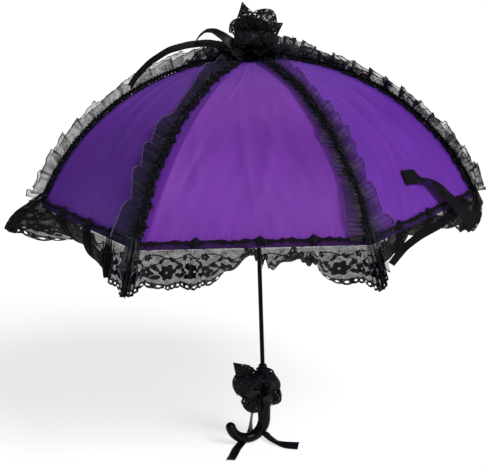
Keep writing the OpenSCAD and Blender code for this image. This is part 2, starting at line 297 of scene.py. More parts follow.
def creases(gore, q, t):
    """Height of the cloth above its taut shape: sag, gathers at the crown, seam puckers and tension folds."""
    rng = np.random.default_rng(40 + gore)
    radius, _ = on_arc(angle_at(t))
    from_seam = np.minimum(q, 1 - q) * radius
    from_hem = np.abs(1 - t) * CLOTH_LEN
    height = 0.0022 * np.sin(np.pi * q) ** 0.8 * np.sin(np.pi * np.clip(t, 0, 1)) ** 2
    phase = rng.uniform(0, 6.28, 6)
    height += 0.0005 * np.exp(-t / 0.22) * np.sin(2 * np.pi * 5 * q + phase[0])
    height += 0.0002 * np.exp(-t / 0.3) * np.sin(2 * np.pi * 13 * q + phase[1] + 2 * t)
    pucker = np.sin(2 * np.pi * t * CLOTH_LEN / 0.013 + 2 * np.sin(t * 21 + phase[2]))
    height += 0.0006 * np.exp(-from_seam / 0.011) * pucker
    gather = np.sin(2 * np.pi * q * radius / 0.011 + 3 * np.sin(q * 17 + phase[3]))
    height += 0.0003 * np.exp(-from_hem / 0.012) * gather
    for _ in range(9):
        q0 = rng.uniform(0.08, 0.92)
        q1 = q0 + rng.uniform(-0.16, 0.16)
        t0 = rng.uniform(0.1, 0.55)
        t1 = t0 + rng.uniform(0.25, 0.45)
        size = rng.uniform(0.0003, 0.0010) * rng.choice([-1, 1])
        height += size * ridge(q, t, q0, t0, q1, t1, rng.uniform(0.018, 0.05))
    height += 0.0016 * ridge(q, t, 0.36, 0.22, 0.52, 0.92, 0.035)
    height += 0.0014 * ridge(q, t, 0.72, 0.30, 0.52, 0.90, 0.035)
    crease = q - (0.160 - 0.115 * t)
    fold = np.exp(-np.abs(crease) / np.where(crease < 0, 0.030, 0.085))
    height += 0.0046 * fold * np.sin(np.pi * np.clip((t - 0.22) / 0.86, 0, 1)) ** 0.8
    return height * smooth(from_seam, 0, 0.012)


def gore_of(i, side):
    """The gore that a half panel lies in: the right half of rib i starts gore i."""
    return i if side == "right" else (i + 4) % 6 + 1


def half_q(side, share):
    """q in the gore, from the rib (share = 0) to the middle of the gore (share = 1)."""
    return share / 2 if side == "right" else 1 - share / 2


def bend_with_panel(piece):
    """Bakes the piece's placement into its mesh."""
    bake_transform(piece)


HALVES = [(i, side) for i in range(1, 7) for side in ("left", "right")]


def gore_half(i, side, material):
    """Half of a satin panel, from its rib to the middle of the gore."""
    gore = gore_of(i, side)
    hem = 1 + HEM_OVER / CLOTH_LEN
    share, t = grid((0, 1, 85), (0, hem, 155))
    q = half_q(side, share)
    points, normals = on_gore(gore, q, t, CLOTH_LIFT)
    points = points + normals * creases(gore, q, t)[..., None]
    radius, _ = on_arc(angle_at(t))
    uv = np.stack([share * radius / 2, t * CLOTH_LEN], -1)
    piece = grid_piece(f"satin_{i}_{side}", points, uv, material, flip=side == "right")
    bend_with_panel(piece)
    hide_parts(f"gore_{i}_{side}")
    return piece


# ---------------------------------------------------------------- lace patterns

EYELET_STEP = 0.0102             # metres from eyelet to eyelet along the lace's edge
MOTIF_STEP = 7 * EYELET_STEP     # and from flower to flower
BARE = -0.01                     # no thread here


def distance_to_row(u, v, step, offset, row_v):
    """Distance to the nearest of a row of points, one every step along u."""
    du = (u - offset + step / 2) % step - step / 2
    return np.hypot(du, v - row_v)


def flower(u, v, step, offset, row_v, radius, petals):
    """Above 0 on the petals of a row of flowers with an open heart and slits between the petals."""
    du = (u - offset + step / 2) % step - step / 2
    dv = v - row_v
    rho = np.hypot(du, dv)
    angle = np.arctan2(dv, du)
    edge = radius * (0.86 + 0.14 * np.cos(petals * angle)) - rho
    heart = rho - radius * 0.15
    slit = np.abs(np.cos(petals * angle / 2)) * rho - 0.0006
    return np.minimum(np.minimum(edge, heart), np.where(rho > radius * 0.35, slit, heart))


def leaf(u, v, step, offset, row_v, length, width, tilt):
    """Above 0 on a row of pointed leaves with an open vein."""
    du = (u - offset + step / 2) % step - step / 2
    dv = v - row_v
    x = du * np.cos(tilt) + dv * np.sin(tilt)
    y = -du * np.sin(tilt) + dv * np.cos(tilt)
    body = width * (1 - (x / length) ** 2) - np.abs(y)
    return np.minimum(body, np.abs(y) - 0.00025)


def lace_edge(u, depth):
    """Where the lace ends: small scallops round the eyelets on wider ones round the motifs."""
    small = 0.0024 * np.abs(np.sin(np.pi * u / EYELET_STEP)) ** 0.6
    wide = 0.0056 * np.abs(np.sin(np.pi * u / MOTIF_STEP)) ** 0.8
    return depth - 0.008 + small + wide


def edging(u, v, edge):
    """Outline and thread of the scalloped border: corded edges with a row of ringed eyelets between."""
    hole = distance_to_row(u, v, EYELET_STEP, EYELET_STEP / 2, edge - 0.0066)
    outline = np.minimum(edge - v, hole - 0.0017)
    cord = v - (edge - 0.0024)
    ring = 0.0009 - np.abs(hole - 0.0034)
    from_bar = np.abs((u % EYELET_STEP + EYELET_STEP / 2) % EYELET_STEP - EYELET_STEP / 2)
    bar = np.where(v > edge - 0.0112, 0.0008 - from_bar, BARE)
    inner_cord = 0.0011 - np.abs(v - (edge - 0.0115))
    return outline, np.maximum(np.maximum(cord, ring), np.maximum(inner_cord, bar))


def flounce_lace(u, v):
    """The deep flounce's lace: flowers, leaves and vines on net above the eyelet border."""
    edge = lace_edge(u, FLOUNCE_DEPTH)
    outline, thread = edging(u, v, edge)
    row = FLOUNCE_DEPTH - 0.037
    half = MOTIF_STEP / 2
    parts = [
        flower(u, v, MOTIF_STEP, half, row, 0.0170, 6),
        flower(u, v, MOTIF_STEP, 0.0, row + 0.002, 0.0125, 5),
        flower(u, v, MOTIF_STEP, 0.0, row - 0.028, 0.0085, 5),
    ]
    for side in (-1, 1):
        spot = half + side * 0.0215
        parts.append(leaf(u, v, MOTIF_STEP, spot, row - 0.009, 0.0100, 0.0046, -0.6 * side))
        parts.append(leaf(u, v, MOTIF_STEP, spot, row + 0.009, 0.0090, 0.0044, 0.5 * side))
        parts.append(leaf(u, v, MOTIF_STEP, half + side * 0.009, row - 0.024, 0.0085, 0.0034, 0.9 * side))
        parts.append(leaf(u, v, MOTIF_STEP, side * 0.012, row - 0.013, 0.0075, 0.0032, -0.9 * side))
    for rise, swing, turn in ((0.0175, 0.0090, 0.0), (0.0300, 0.0050, 1.9)):
        vine = row - rise + swing * np.cos(2 * np.pi * u / MOTIF_STEP + turn)
        parts.append(0.0010 - np.abs(v - vine))
    for lean in (-1, 1):
        slanted = np.abs(((u + lean * (v + 0.006 * np.sin(u / 0.011))) / 0.0357) % 1 * 2 - 1) * 0.0178
        parts.append(np.where(v < row - 0.012, 0.0007 - np.abs(slanted - 0.002), BARE))
    for part in parts:
        thread = np.maximum(thread, part)
    return outline, thread


def bow_lace(width):
    """Narrow lace of the bows: the same border along both edges and small flowers between."""
    def pattern(u, v):
        """Outline and thread at u along the lace and v across it."""
        edge = width - 0.0030 + 0.0028 * np.abs(np.sin(np.pi * u / EYELET_STEP)) ** 0.6
        low, thread = edging(u, v, edge)
        high, thread_high = edging(u, width - v, edge)
        outline = np.minimum(low, high)
        thread = np.maximum(thread, thread_high)
        row = width / 2
        thread = np.maximum(thread, flower(u, v, 0.021, 0.0105, row, 0.0068, 5))
        thread = np.maximum(thread, leaf(u, v, 0.021, 0.0, row, 0.0046, 0.0022, 1.2))
        return outline, thread
    return pattern


# ---------------------------------------------------------------- flounce

# Where the flounce's low edge turns along each gore, and how far below the hem it is there,
# as a share of its depth
DROP = {
    1: [(0, 0.62), (0.2, 0.66), (0.4, 0.74), (0.6, 0.56), (0.8, 0.70), (1, 0.85)],
    2: [(0, 0.85), (0.2, 0.74), (0.4, 0.54), (0.6, 0.76), (0.8, 0.62), (1, 0.85)],
    3: [(0, 0.85), (0.2, 0.56), (0.4, 0.70), (0.6, 0.54), (0.8, 0.62), (1, 0.92)],
    4: [(0, 0.92), (0.05, 0.76), (0.10, 0.60), (0.17, 0.47), (0.25, 0.45), (0.34, 0.56), (0.50, 0.58),
        (0.75, 0.66), (0.90, 0.84), (1, 0.95)],
    5: [(0, 0.95), (0.10, 0.60), (0.25, 0.78), (0.42, 0.42), (0.50, 0.26), (0.59, 0.58), (0.70, 0.31),
        (0.78, 0.46), (0.96, 0.82), (1, 0.95)],
    6: [(0, 0.95), (0.05, 0.66), (0.12, 0.62), (0.25, 0.48), (0.40, 0.34), (0.58, 0.29), (0.75, 0.31),
        (0.88, 0.50), (1, 0.62)],
}
SLOPE = 72                                          # degrees below level along the hem
HANG = {1: 60, 2: 60, 3: 60, 4: 16, 5: 66, 6: 66}   # and at each rib
ARCH = {1: 25, 4: 52}                               # degrees it turns down by its low edge there
# For a low edge this far down: degrees the lace curls under, and the share of its depth not lost in folds
CURL = ((0.26, 0.31, 0.38, 0.46, 0.56, 0.70), (215, 185, 155, 130, 95, 0))
KEPT = ((0.30, 0.56, 0.72, 0.94), (0.82, 0.86, 0.80, 1.0))
KNOTS = (0.0, 0.25, 0.53, 0.76, 1.0)                # where the flounce is drawn together
KNOT_WIDTH = {5: 0.022}                             # of the bunches, as a share of the gore


def wave(turns, q):
    """Smooth curve through the turning points from q = 0 to 1."""
    fine = np.linspace(0, 1, 401)
    coarse = np.interp(fine, [turn[0] for turn in turns], [turn[1] for turn in turns])
    kernel = np.hanning(25)
    kernel = kernel / kernel.sum()
    padded = np.concatenate([coarse[24:0:-1], coarse, coarse[-2:-26:-1]])
    return np.interp(q, fine, np.convolve(padded, kernel, "same")[24:-24])


def drawn_in(gore, q):
    """1 at each knot, falling to 0 between them; the bunches at the ribs are the widest."""
    width = KNOT_WIDTH.get(gore, 0.045)
    inner = sum(np.exp(-((q - spot) / width) ** 2) for spot in KNOTS[1:-1])
    ends = sum(np.exp(-((q - spot) / 0.050) ** 2) for spot in (0, 1))
    return inner + ends


FINE_Q = np.linspace(0, 1, 2001)
FLAT_LEN = FLOUNCE_FULLNESS * MOTIF_STEP


def flat_along(gore):
    """Flat lace used up to each step of q: a tenth more than the hem, and the rest in the bunches."""
    along_hem = 1.10 * RIM_RADIUS
    extra = drawn_in(gore, FINE_Q)
    extra = extra * (FLAT_LEN - along_hem) / np.trapz(extra, FINE_Q)
    per_q = along_hem + extra
    return np.concatenate([[0], np.cumsum((per_q[1:] + per_q[:-1]) / 2 * np.diff(FINE_Q))])


def flounce_place(i, side):
    """Places the flat flounce: gathered on at the seam, hanging in folds, curled under where it is short."""
    gore = gore_of(i, side)
    following = gore % 6 + 1
    phase = np.random.default_rng(70 + gore).uniform(0, 6.28, 3)

    def place(u, v):
        """u is along the flat lace, and v down it from the seam."""
        q = np.interp(u, flat_along(gore), FINE_Q)
        bunch = drawn_in(gore, q)
        seam, _ = on_gore(gore, q, np.full_like(q, 1.0), TRIM_LIFT)
        azimuth = gore_azimuth(gore) + (q - 0.5) * np.pi / 3
        out = np.stack([np.cos(azimuth), np.sin(azimuth), np.zeros_like(azimuth)], -1)
        drop = wave(DROP[gore], q)
        near_first, near_last = np.exp(-(q / 0.12) ** 2), np.exp(-((1 - q) / 0.12) ** 2)
        start = np.radians(SLOPE + (HANG[gore] - SLOPE) * near_first + (HANG[following] - SLOPE) * near_last)
        arch = ARCH.get(gore, 0) * near_first + ARCH.get(following, 0) * near_last
        curl = np.radians(arch + np.interp(drop, *CURL))
        kept = np.interp(drop, *KEPT)
        bend = np.maximum(curl, 0.02) / FLOUNCE_DEPTH
        turned = start + bend * v
        reach = kept * (np.sin(turned) - np.sin(start)) / bend
        fall = kept * (np.cos(start) - np.cos(turned)) / bend
        face = np.sin(turned)[..., None] * out + np.cos(turned)[..., None] * UP
        open_out = smooth(v, 0.0, 0.075)
        bunched = np.minimum(bunch, 1)
        pleat = np.cos(2 * np.pi * (u / 0.0212)) * (0.0028 + 0.0060 * open_out) * bunched
        billow = 0.0050 * np.sin(2 * np.pi * u / 0.087 + phase[0])
        billow = billow + 0.0030 * np.sin(2 * np.pi * u / 0.051 + phase[1])
        billow = billow * open_out * (1 - 0.7 * bunched) * np.minimum(1, 4 * np.sin(np.pi * q))
        crinkle = 0.0006 * np.sin(u / 0.0021 + v * 60) * np.exp(-v / 0.02)
        lift = 0.0030 + pleat + billow + crinkle
        spread = 0.010 * open_out * sum(
            np.tanh((q - spot) / 0.02) * np.exp(-((q - spot) / 0.035) ** 2) for spot in KNOTS[1:-1])
        return (
            seam
            + reach[..., None] * out
            - fall[..., None] * UP
            + face * lift[..., None]
            + spread[..., None] * sideways(gore_azimuth(gore))
        )
    return place


def flounce_half(i, side, materials):
    """Half a gore's length of the gathered lace flounce."""
    middle = float(np.interp(0.5, FINE_Q, flat_along(gore_of(i, side))))
    start, end = (0.0, middle) if side == "right" else (middle, FLAT_LEN)
    piece = lace_piece(
        f"flounce_lace_{i}_{side}", start, end, FLOUNCE_DEPTH, 0.0014,
        flounce_lace, flounce_place(i, side), materials)
    bend_with_panel(piece)
    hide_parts(f"flounce_{i}_{side}")
    return piece


def hem_gather(i, side, material):
    """The dark puckered gathering line that holds the flounce on, with three knots in each gore."""
    gore = gore_of(i, side)
    share, w = grid((0, 1, 260), (-1, 1, 9))
    q = half_q(side, share)
    run = q * RIM_RADIUS
    knots = sum(np.exp(-((q - spot) / 0.016) ** 2) for spot in KNOTS[1:-1])
    sway = 0.0012 * np.sin(2 * np.pi * run / 0.064 + gore) * np.sin(np.pi * q) ** 0.3
    width = 0.0030 + 0.0011 * np.sin(run / 0.0041 + 2 * np.sin(run / 0.013)) + 0.0060 * knots
    pleat = np.sin(2 * np.pi * run / 0.0062 + 1.5 * np.sin(run / 0.021))
    lift = 0.0034 + 0.0013 * pleat * (0.4 + np.abs(w)) + 0.0055 * knots * (1 - w * w)
    t = 1 + (0.0008 + sway + w * width) / CLOTH_LEN
    points, normals = on_gore(gore, q, t, CLOTH_LIFT)
    points = points + normals * (creases(gore, q, t) + lift)[..., None]
    uv = np.stack([share * RIM_RADIUS / 2, w * 0.004], -1)
    piece = grid_piece(f"hem_gather_{i}_{side}", points, uv, material, flip=side == "right")
    bend_with_panel(piece)
    return piece


# ---------------------------------------------------------------- rib frills

# How each frill lies: rise in degrees, its swing, pleat lean, pleat length and width in metres, roundness
UPRIGHT = {
    1: (62, 5, 0.0125, 0.040, 0.034, 0.0), 2: (68, 6, 0.0120, 0.034, 0.045, 0.0),
    3: (68, 6, 0.0120, 0.034, 0.040, 0.0), 4: (60, 5, 0.0120, 0.058, 0.041, 0.08),
}
WINGS = {
    (5, "left"): (20, 7, 0.0030, 0.080, 0.047, 0.42),
    (5, "right"): (50, 16, 0.0030, 0.017, 0.014, 0.10),
    (6, "left"): (18, 8, 0.0030, 0.064, 0.027, 0.20),
    (6, "right"): (30, 9, 0.0020, 0.040, 0.034, 0.42),
}


def frill_wing(i, side, material):
    """A pleated organza wing that stands up along one side of a rib."""
    gore = gore_of(i, side)
    rise, swing, lean_by, pleat_len, wing_width, roundness = WINGS.get((i, side)) or UPRIGHT[i]
    sign, rib_q = (1, 0.0) if side == "right" else (-1, 1.0)
    rng = np.random.default_rng(100 + 2 * i + (side == "right"))
    s, w = grid((0.012, CLOTH_LEN + 0.004, 480), (0, 1, 15))
    t = s / CLOTH_LEN
    root, normal = on_gore(gore, np.full_like(t, rib_q), t, TRIM_LIFT + 0.0012)
    across = sideways(gore_azimuth(gore)) * sign
    angle = angle_at(t)
    ahead = scaled(np.cos(angle), outward(rib_azimuth(i))) - scaled(np.sin(angle), UP)
    turns = s / pleat_len + 0.45 * np.sin(s / 0.047 + rng.uniform(0, 6)) + rng.uniform(0, 1)
    phase = 2 * np.pi * turns
    raise_by = np.radians(rise + swing * np.sin(phase))
    raise_by = raise_by * (0.65 + 0.35 * w)
    scallop = 1 - roundness + roundness * np.abs(np.sin(phase / 2)) ** 0.45
    uneven = 0.96 + 0.04 * np.sin(phase * 0.53 + 2) + roundness * 0.30 * np.sin(s / 0.033 + i)
    width = wing_width * scallop * uneven
    width = width * smooth(s, -0.004, 0.05) * (0.84 + 0.50 * smooth(s, 0.20, CLOTH_LEN + 0.06))
    lean = -lean_by * np.sin(phase + 0.3 * np.sin(s / 0.06)) * w ** 0.4
    crinkle = 0.0014 * np.cos(phase) + 0.0007 * np.sin(phase * 4.3 + 3 * w)
    crinkle = crinkle + 0.0006 * np.sin(s / 0.0011 + 2 * w)
    points = (
        root
        + across * (width * w * np.cos(raise_by))[..., None]
        + normal * (width * w * np.sin(raise_by) + crinkle * w)[..., None]
        + ahead * lean[..., None]
    )
    uv = np.stack([s, w * 0.034], -1)
    piece = grid_piece(f"frill_{i}_{side}", points, uv, material, flip=side == "right")
    bend_with_panel(piece)
    return piece


def frill_end(i, length, material):
    """The loose end of a rib's frill, hanging over the flounce at the corner."""
    s, w = grid((0, 1, 40), (-1, 1, 49))
    tip, _ = on_gore(i, np.array([0.0]), np.array([0.985]), TRIM_LIFT)
    hang = np.radians(HANG[i] + 4 + ARCH.get(i, 0) / 3)
    out, side = outward(rib_azimuth(i)), sideways(rib_azimuth(i))
    down = np.cos(hang) * out - np.sin(hang) * UP
    face = np.sin(hang) * out + np.cos(hang) * UP
    half = 0.0115 + 0.0090 * s + 0.0015 * np.sin(9 * s + i)
    reach = length * s * (0.88 + 0.12 * np.cos(2.6 * np.pi * w + i))
    lift = 0.0070 + (0.0012 + 0.0034 * s) * np.sin(3.2 * np.pi * w + i) + 0.0004 * np.sin(27 * w + 5 * s)
    points = tip[0] + scaled(reach, down) + scaled(w * half, side) + scaled(lift, face)
    uv = np.stack([w * 0.020, s * 0.034], -1)
    piece = hold(grid_piece(f"frill_end_{i}", points, uv, material), f"rib_{i}")
    return piece


def rib_gather(i, material):
    """The dense gathered band over a rib that both frills spring from."""
    rng = np.random.default_rng(150 + i)
    s, w = grid((0.010, CLOTH_LEN + 0.002, 520), (-1, 1, 13))
    angle = CLOTH_START + s / ARC_R
    out, side = outward(rib_azimuth(i)), sideways(rib_azimuth(i))
    radius, height = on_arc(angle)
    normal = scaled(np.sin(angle), out) + scaled(np.cos(angle), UP)
    base = scaled(radius, out) + scaled(height, UP)
    ruck = np.sin(2 * np.pi * s / 0.0068 + 1.8 * np.sin(s / 0.017 + rng.uniform(0, 6)) + 1.2 * w)
    rough = rng.normal(0, 1, s.shape)
    rough = (rough + np.roll(rough, 1, 0) + np.roll(rough, 1, 1)) / 3
    ragged = 1 + 0.26 * np.sin(s / 0.0047 + 3 * np.sin(s / 0.05)) + 0.18 * np.sin(s / 0.0029)
    half_width = 0.0078 * ragged * smooth(s, -0.01, 0.06) * (1 + 0.35 * smooth(s, 0.30, CLOTH_LEN))
    lift = 0.0032 + 0.0072 * (1 - w * w) + 0.0022 * ruck * (0.3 + np.abs(w)) + 0.0011 * rough
    wander = 0.0012 * np.sin(s / 0.019 + i)
    lift = lift - np.abs(w) * half_width * 0.53 * np.sin(angle)
    points = base + normal * lift[..., None] + scaled(w * half_width + wander, side)
    uv = np.stack([s, w * 0.0065], -1)
    piece = hold(grid_piece(f"rib_gather_{i}", points, uv, material), f"rib_{i}")
    return piece


# ---------------------------------------------------------------- threads, by geometry nodes

def feed(tree, socket, value):
    """Links the socket that is the value, or sets the constant that it is."""
    if isinstance(value, bpy.types.NodeSocket):
        tree.links.new(value, socket)
    else:
        socket.default_value = value


def add_node(tree, kind, values=None, **settings):
    """A new node in the tree; each of its values is a constant or the socket that feeds it."""
    node = tree.nodes.new(kind)
    for name, value in settings.items():
        setattr(node, name, value)
    for name, value in (values or {}).items():
        feed(tree, node.inputs[name], value)
    return node


def thread_nodes():
    """Scatters short curled threads along a line of edges, for frayed edges."""
    group = bpy.data.node_groups.new("frayed threads", "GeometryNodeTree")
    group.is_modifier = True
    inputs = {
        "Line": "Geometry", "Spacing": "Float", "Length": "Float", "Thickness": "Float",
        "Spread": "Float", "Seed": "Int", "Thread": "Material",
    }
    for label, kind in inputs.items():
        group.interface.new_socket(label, in_out="INPUT", socket_type=f"NodeSocket{kind}")
    group.interface.new_socket("Threads", in_out="OUTPUT", socket_type="NodeSocketGeometry")

    def add(kind, output, values, **settings):
        """A new node, as the output that the next one reads."""
        return add_node(group, kind, values, **settings).outputs[output]

    given = group.nodes.new("NodeGroupInput").outputs
    line = add("GeometryNodeMeshToCurve", "Curve", {"Mesh": given["Line"]})
    spots = add_node(group, "GeometryNodeCurveToPoints", {"Curve": line, "Length": given["Spacing"]},
                     mode="LENGTH")
    strand = add("GeometryNodeCurveQuadraticBezier", "Curve", {
        "Resolution": 5, "Start": (0, 0, 0), "Middle": (0.25, 0, 0.6), "End": (0.75, 0.1, 0.8)})
    thickness = add("ShaderNodeMath", 0, {0: given["Thickness"], 1: given["Length"]}, operation="DIVIDE")
    profile = add("GeometryNodeCurvePrimitiveCircle", "Curve", {"Resolution": 4, "Radius": thickness})
    tube = add("GeometryNodeCurveToMesh", "Mesh", {"Curve": strand, "Profile Curve": profile})
    chance = add("FunctionNodeRandomValue", "Value", {
        "Min": (-1, -1, -1), "Max": (1, 1, 1), "Seed": given["Seed"]}, data_type="FLOAT_VECTOR")
    wide = add("ShaderNodeVectorMath", 0, {0: chance, "Scale": given["Spread"]}, operation="SCALE")
    turn = add("FunctionNodeEulerToRotation", "Rotation", {"Euler": wide})
    turned = add("FunctionNodeRotateRotation", "Rotation", {
        "Rotation": spots.outputs["Rotation"], "Rotate By": turn}, rotation_space="LOCAL")
    share = add("FunctionNodeRandomValue", 1, {2: 0.5, 3: 1.0, "Seed": given["Seed"]})
    length = add("ShaderNodeMath", 0, {0: share, 1: given["Length"]}, operation="MULTIPLY")
    copies = add("GeometryNodeInstanceOnPoints", "Instances", {
        "Points": spots.outputs["Points"], "Instance": tube, "Rotation": turned, "Scale": length})
    real = add("GeometryNodeRealizeInstances", 0, {"Geometry": copies})
    painted = add("GeometryNodeSetMaterial", "Geometry", {"Geometry": real, "Material": given["Thread"]})
    add_node(group, "NodeGroupOutput", {"Threads": painted})
    return group


def threads_along(name, line, group, material, seed, spacing, length):
    """Frayed threads on the line of points, made into a plain mesh."""
    mesh = bpy.data.meshes.new(name + "_line")
    edges = [(k, k + 1) for k in range(len(line) - 1)]
    mesh.from_pydata(line.tolist(), edges, [])
    host = bpy.data.objects.new(name + "_line", mesh)
    GROUND.objects.link(host)
    modifier = host.modifiers.new("threads", "NODES")
    modifier.node_group = group
    values = {
        "Spacing": spacing, "Length": length, "Thickness": THREAD_RADIUS,
        "Spread": 1.5, "Seed": seed, "Thread": material,
    }
    for item in group.interface.items_tree:
        if item.in_out == "INPUT" and item.name in values:
            modifier[item.identifier] = values[item.name]
    bpy.context.view_layer.update()
    graph = bpy.context.evaluated_depsgraph_get()
    made = bpy.data.meshes.new_from_object(host.evaluated_get(graph), depsgraph=graph)
    bpy.data.objects.remove(host)
    piece = bpy.data.objects.new(name, made)
    GROUND.objects.link(piece)
    return piece


def frayed_rib(name, i, group, material, spacing, length):
    """Loose thread ends that stand out of the gathered band on a rib."""
    s = np.linspace(0.03, CLOTH_LEN - 0.004, 160)
    radius, height = on_arc(CLOTH_START + s / ARC_R, 0.0078)
    out, side = outward(rib_azimuth(i)), sideways(rib_azimuth(i))
    line = scaled(radius, out) + scaled(height, UP) + scaled(0.004 * np.sin(s / 0.0031), side)
    piece = threads_along(f"{name}_{i}", line, group, material, i, spacing, length)
    return hold(piece, f"rib_{i}")


# ---------------------------------------------------------------- bows and ribbons

LOOP_STRIP = 2.15    # length of a loop's flat strip, over how far the loop reaches


def loop_place(knot, direction, length, width, fullness, pointed, roll, seed):
    """Bends a flat strip into a bow loop that leaves the knot and comes back to it."""
    out = unit(direction)
    helper = UP if abs(out[2]) < 0.85 else np.array([1.0, 0.0, 0.0])
    flat = unit(np.cross(out, helper))
    edge = unit(np.cross(flat, out))
    across = edge * np.cos(roll) + flat * np.sin(roll)
    thick = flat * np.cos(roll) - edge * np.sin(roll)
    rng = np.random.default_rng(seed)
    phase = rng.uniform(0, 6.28, 4)

    def place(p, w):
        """p from 0 to 1 along the strip, w from -1 to 1 across it."""
        if pointed:
            far = 1 - np.abs(2 * p - 1) ** 1.2
            pinch = 0.05 + 0.95 * np.abs(np.sin(2 * np.pi * p)) ** 0.8
        else:
            far = np.sin(np.pi * p)
            pinch = 0.22 + 0.78 * np.clip(np.sin(np.pi * p), 0, 1) ** 0.55
        cup = (0.03 if pointed else 0.10) * length * np.sin(np.pi * p) * (w * w - 0.4)
        wavy = 0.0022 * np.sin(9 * p + phase[0] + 2 * w) + 0.0013 * np.sin(23 * p + phase[1] - 3 * w)
        gathers = 0.0020 * np.sin(5 * np.pi * w + phase[2]) * (1 - np.sin(np.pi * p))
        side = fullness * np.sin(2 * np.pi * p) * (1 + 0.12 * w)
        return (
            knot
            + scaled(length * far * (1 - 0.17 * w * w) - cup * 0.7, out)
            + scaled(side + cup + wavy + gathers, thick)
            + scaled(w * width / 2 * pinch + 0.0012 * np.sin(14 * p + phase[3]), across)
        )
    return place


def lace_loops(bow, materials, knot, loops, seed):
    """A bow's loops of lace; each is (direction, length, width, fullness, pointed, roll)."""
    for k, (direction, length, width, fullness, pointed, roll) in enumerate(loops):
        strip = LOOP_STRIP * length
        shape = loop_place(knot, direction, length, width, fullness, pointed, roll, seed + k)
        piece = lace_piece(
            f"{bow}_loop_{'abcdefghi'[k]}", 0.0, strip, width, 0.0011, bow_lace(width),
            lambda u, v: shape(u / strip, 2 * v / width - 1), materials)
        hold(piece, "root")
        if k == 0:
            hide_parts(bow)


def puff(name, material, knot, direction, length, width, fullness, roll, seed):
    """One loop of organza."""
    shape = loop_place(knot, direction, length, width, fullness, False, roll, seed)
    p, w = grid((0, 1, 90), (-1, 1, 17))
    strip = LOOP_STRIP * length
    uv = np.stack([p * strip, (w + 1) * width / 2], -1)
    piece = hold(grid_piece(name, shape(p, w), uv, material), "root")


def soften(values, length, at):
    """A smooth curve through the values given at the lengths, read at each step of at."""
    fine = np.stack([np.interp(at, length, values[:, k]) for k in range(3)], -1)
    kernel = np.hanning(23)
    kernel = kernel / kernel.sum()
    ends = np.concatenate([2 * fine[:1] - fine[11:0:-1], fine, 2 * fine[-1:] - fine[-2:-13:-1]])
    return np.stack([np.convolve(ends[:, k], kernel, "valid") for k in range(3)], -1)


def ribbon_strip(name, material, path, facing, width, taper=0.0, notch=0.0):
    """A flat ribbon along path, its face turned to facing at each point of the path."""
    path, facing = np.asarray(path, float), np.asarray(facing, float)
    count = 140
    length = np.concatenate([[0], np.cumsum(np.linalg.norm(np.diff(path, axis=0), axis=1))])
    at = np.linspace(0, length[-1], count)
    centre = soften(path, length, at)
    ahead = unit(np.gradient(centre, axis=0))
    normal = unit(soften(facing, length, at))
    normal = unit(normal - ahead * np.sum(normal * ahead, -1, keepdims=True))
    across = np.cross(ahead, normal)
    w = np.linspace(-1, 1, 9)
    share = np.linspace(0, 1, count)
    half = width / 2 * (1 - taper * share)
    bow = 0.0006 * (1 - w ** 2)
    points = centre[:, None] + across[:, None] * (half[:, None] * w)[..., None]
    points = points + normal[:, None] * bow[None, :, None]
    cut = notch * (1 - np.abs(w)) * smooth(share, 0.85, 1)[:, None]
    points = points - ahead[:, None] * cut[..., None]
    uv = np.stack(np.broadcast_arrays(at[:, None], (w * width / 2)[None, :]), -1)
    piece = grid_piece(name, points, uv, material)
    return piece


def ruffle_ring(name, material, centre, inner, outer, folds, lift, depth, seed):
    """A gathered round ruffle about the upright."""
    rng = np.random.default_rng(seed)
    a, w = around(240, (0, 1, 15))
    wave_a = np.sin(folds * a + 0.8 * np.sin(2 * a + rng.uniform(0, 6)))
    wave_b = np.sin((folds * 2 + 1) * a + rng.uniform(0, 6))
    radius = inner + (outer - inner) * w * (1 + 0.13 * wave_b * w + 0.10 * np.sin(3 * a + rng.uniform(0, 6)))
    height = lift * w ** 1.3 + (depth * (outer - inner)) * w * wave_a + 0.0015 * wave_b * w
    points = centre + np.stack([-radius * np.sin(a), radius * np.cos(a), height], -1)
    uv = np.stack([a * (inner + outer) / 2, w * (outer - inner)], -1)
    faces = grid_faces(240, 15, wrap=True)
    piece = new_piece(name, points.reshape(-1, 3), faces, uv.reshape(-1, 2), [material])
    hold(piece, "root")


def crumpled_knot(name, material, centre, radii, seed):
    """The tight crumpled knot at the middle of a bow."""
    rng = np.random.default_rng(seed)
    a, b = around(96, (0.02, np.pi - 0.02, 49))
    bumps = np.zeros_like(a)
    for _ in range(7):
        k, m = rng.integers(2, 7), rng.integers(1, 6)
        bumps += 0.06 * np.sin(k * a + rng.uniform(0, 6)) * np.sin(m * b + rng.uniform(0, 6))
    bumps += 0.05 * np.sin(11 * a + 3 * np.sin(2 * b))
    r = 1 + bumps * np.sin(b)
    ball = np.stack([r * np.sin(b) * np.cos(a), r * np.sin(b) * np.sin(a), r * np.cos(b)], -1)
    points = centre + ball * np.asarray(radii)
    uv = np.stack([a * radii[0], b * radii[2]], -1)
    caps = [[k * 49 for k in range(96)], [k * 49 + 48 for k in range(96)][::-1]]
    faces = grid_faces(96, 49, wrap=True) + caps
    hold(new_piece(name, points.reshape(-1, 3), faces, uv.reshape(-1, 2), [material]), "root")


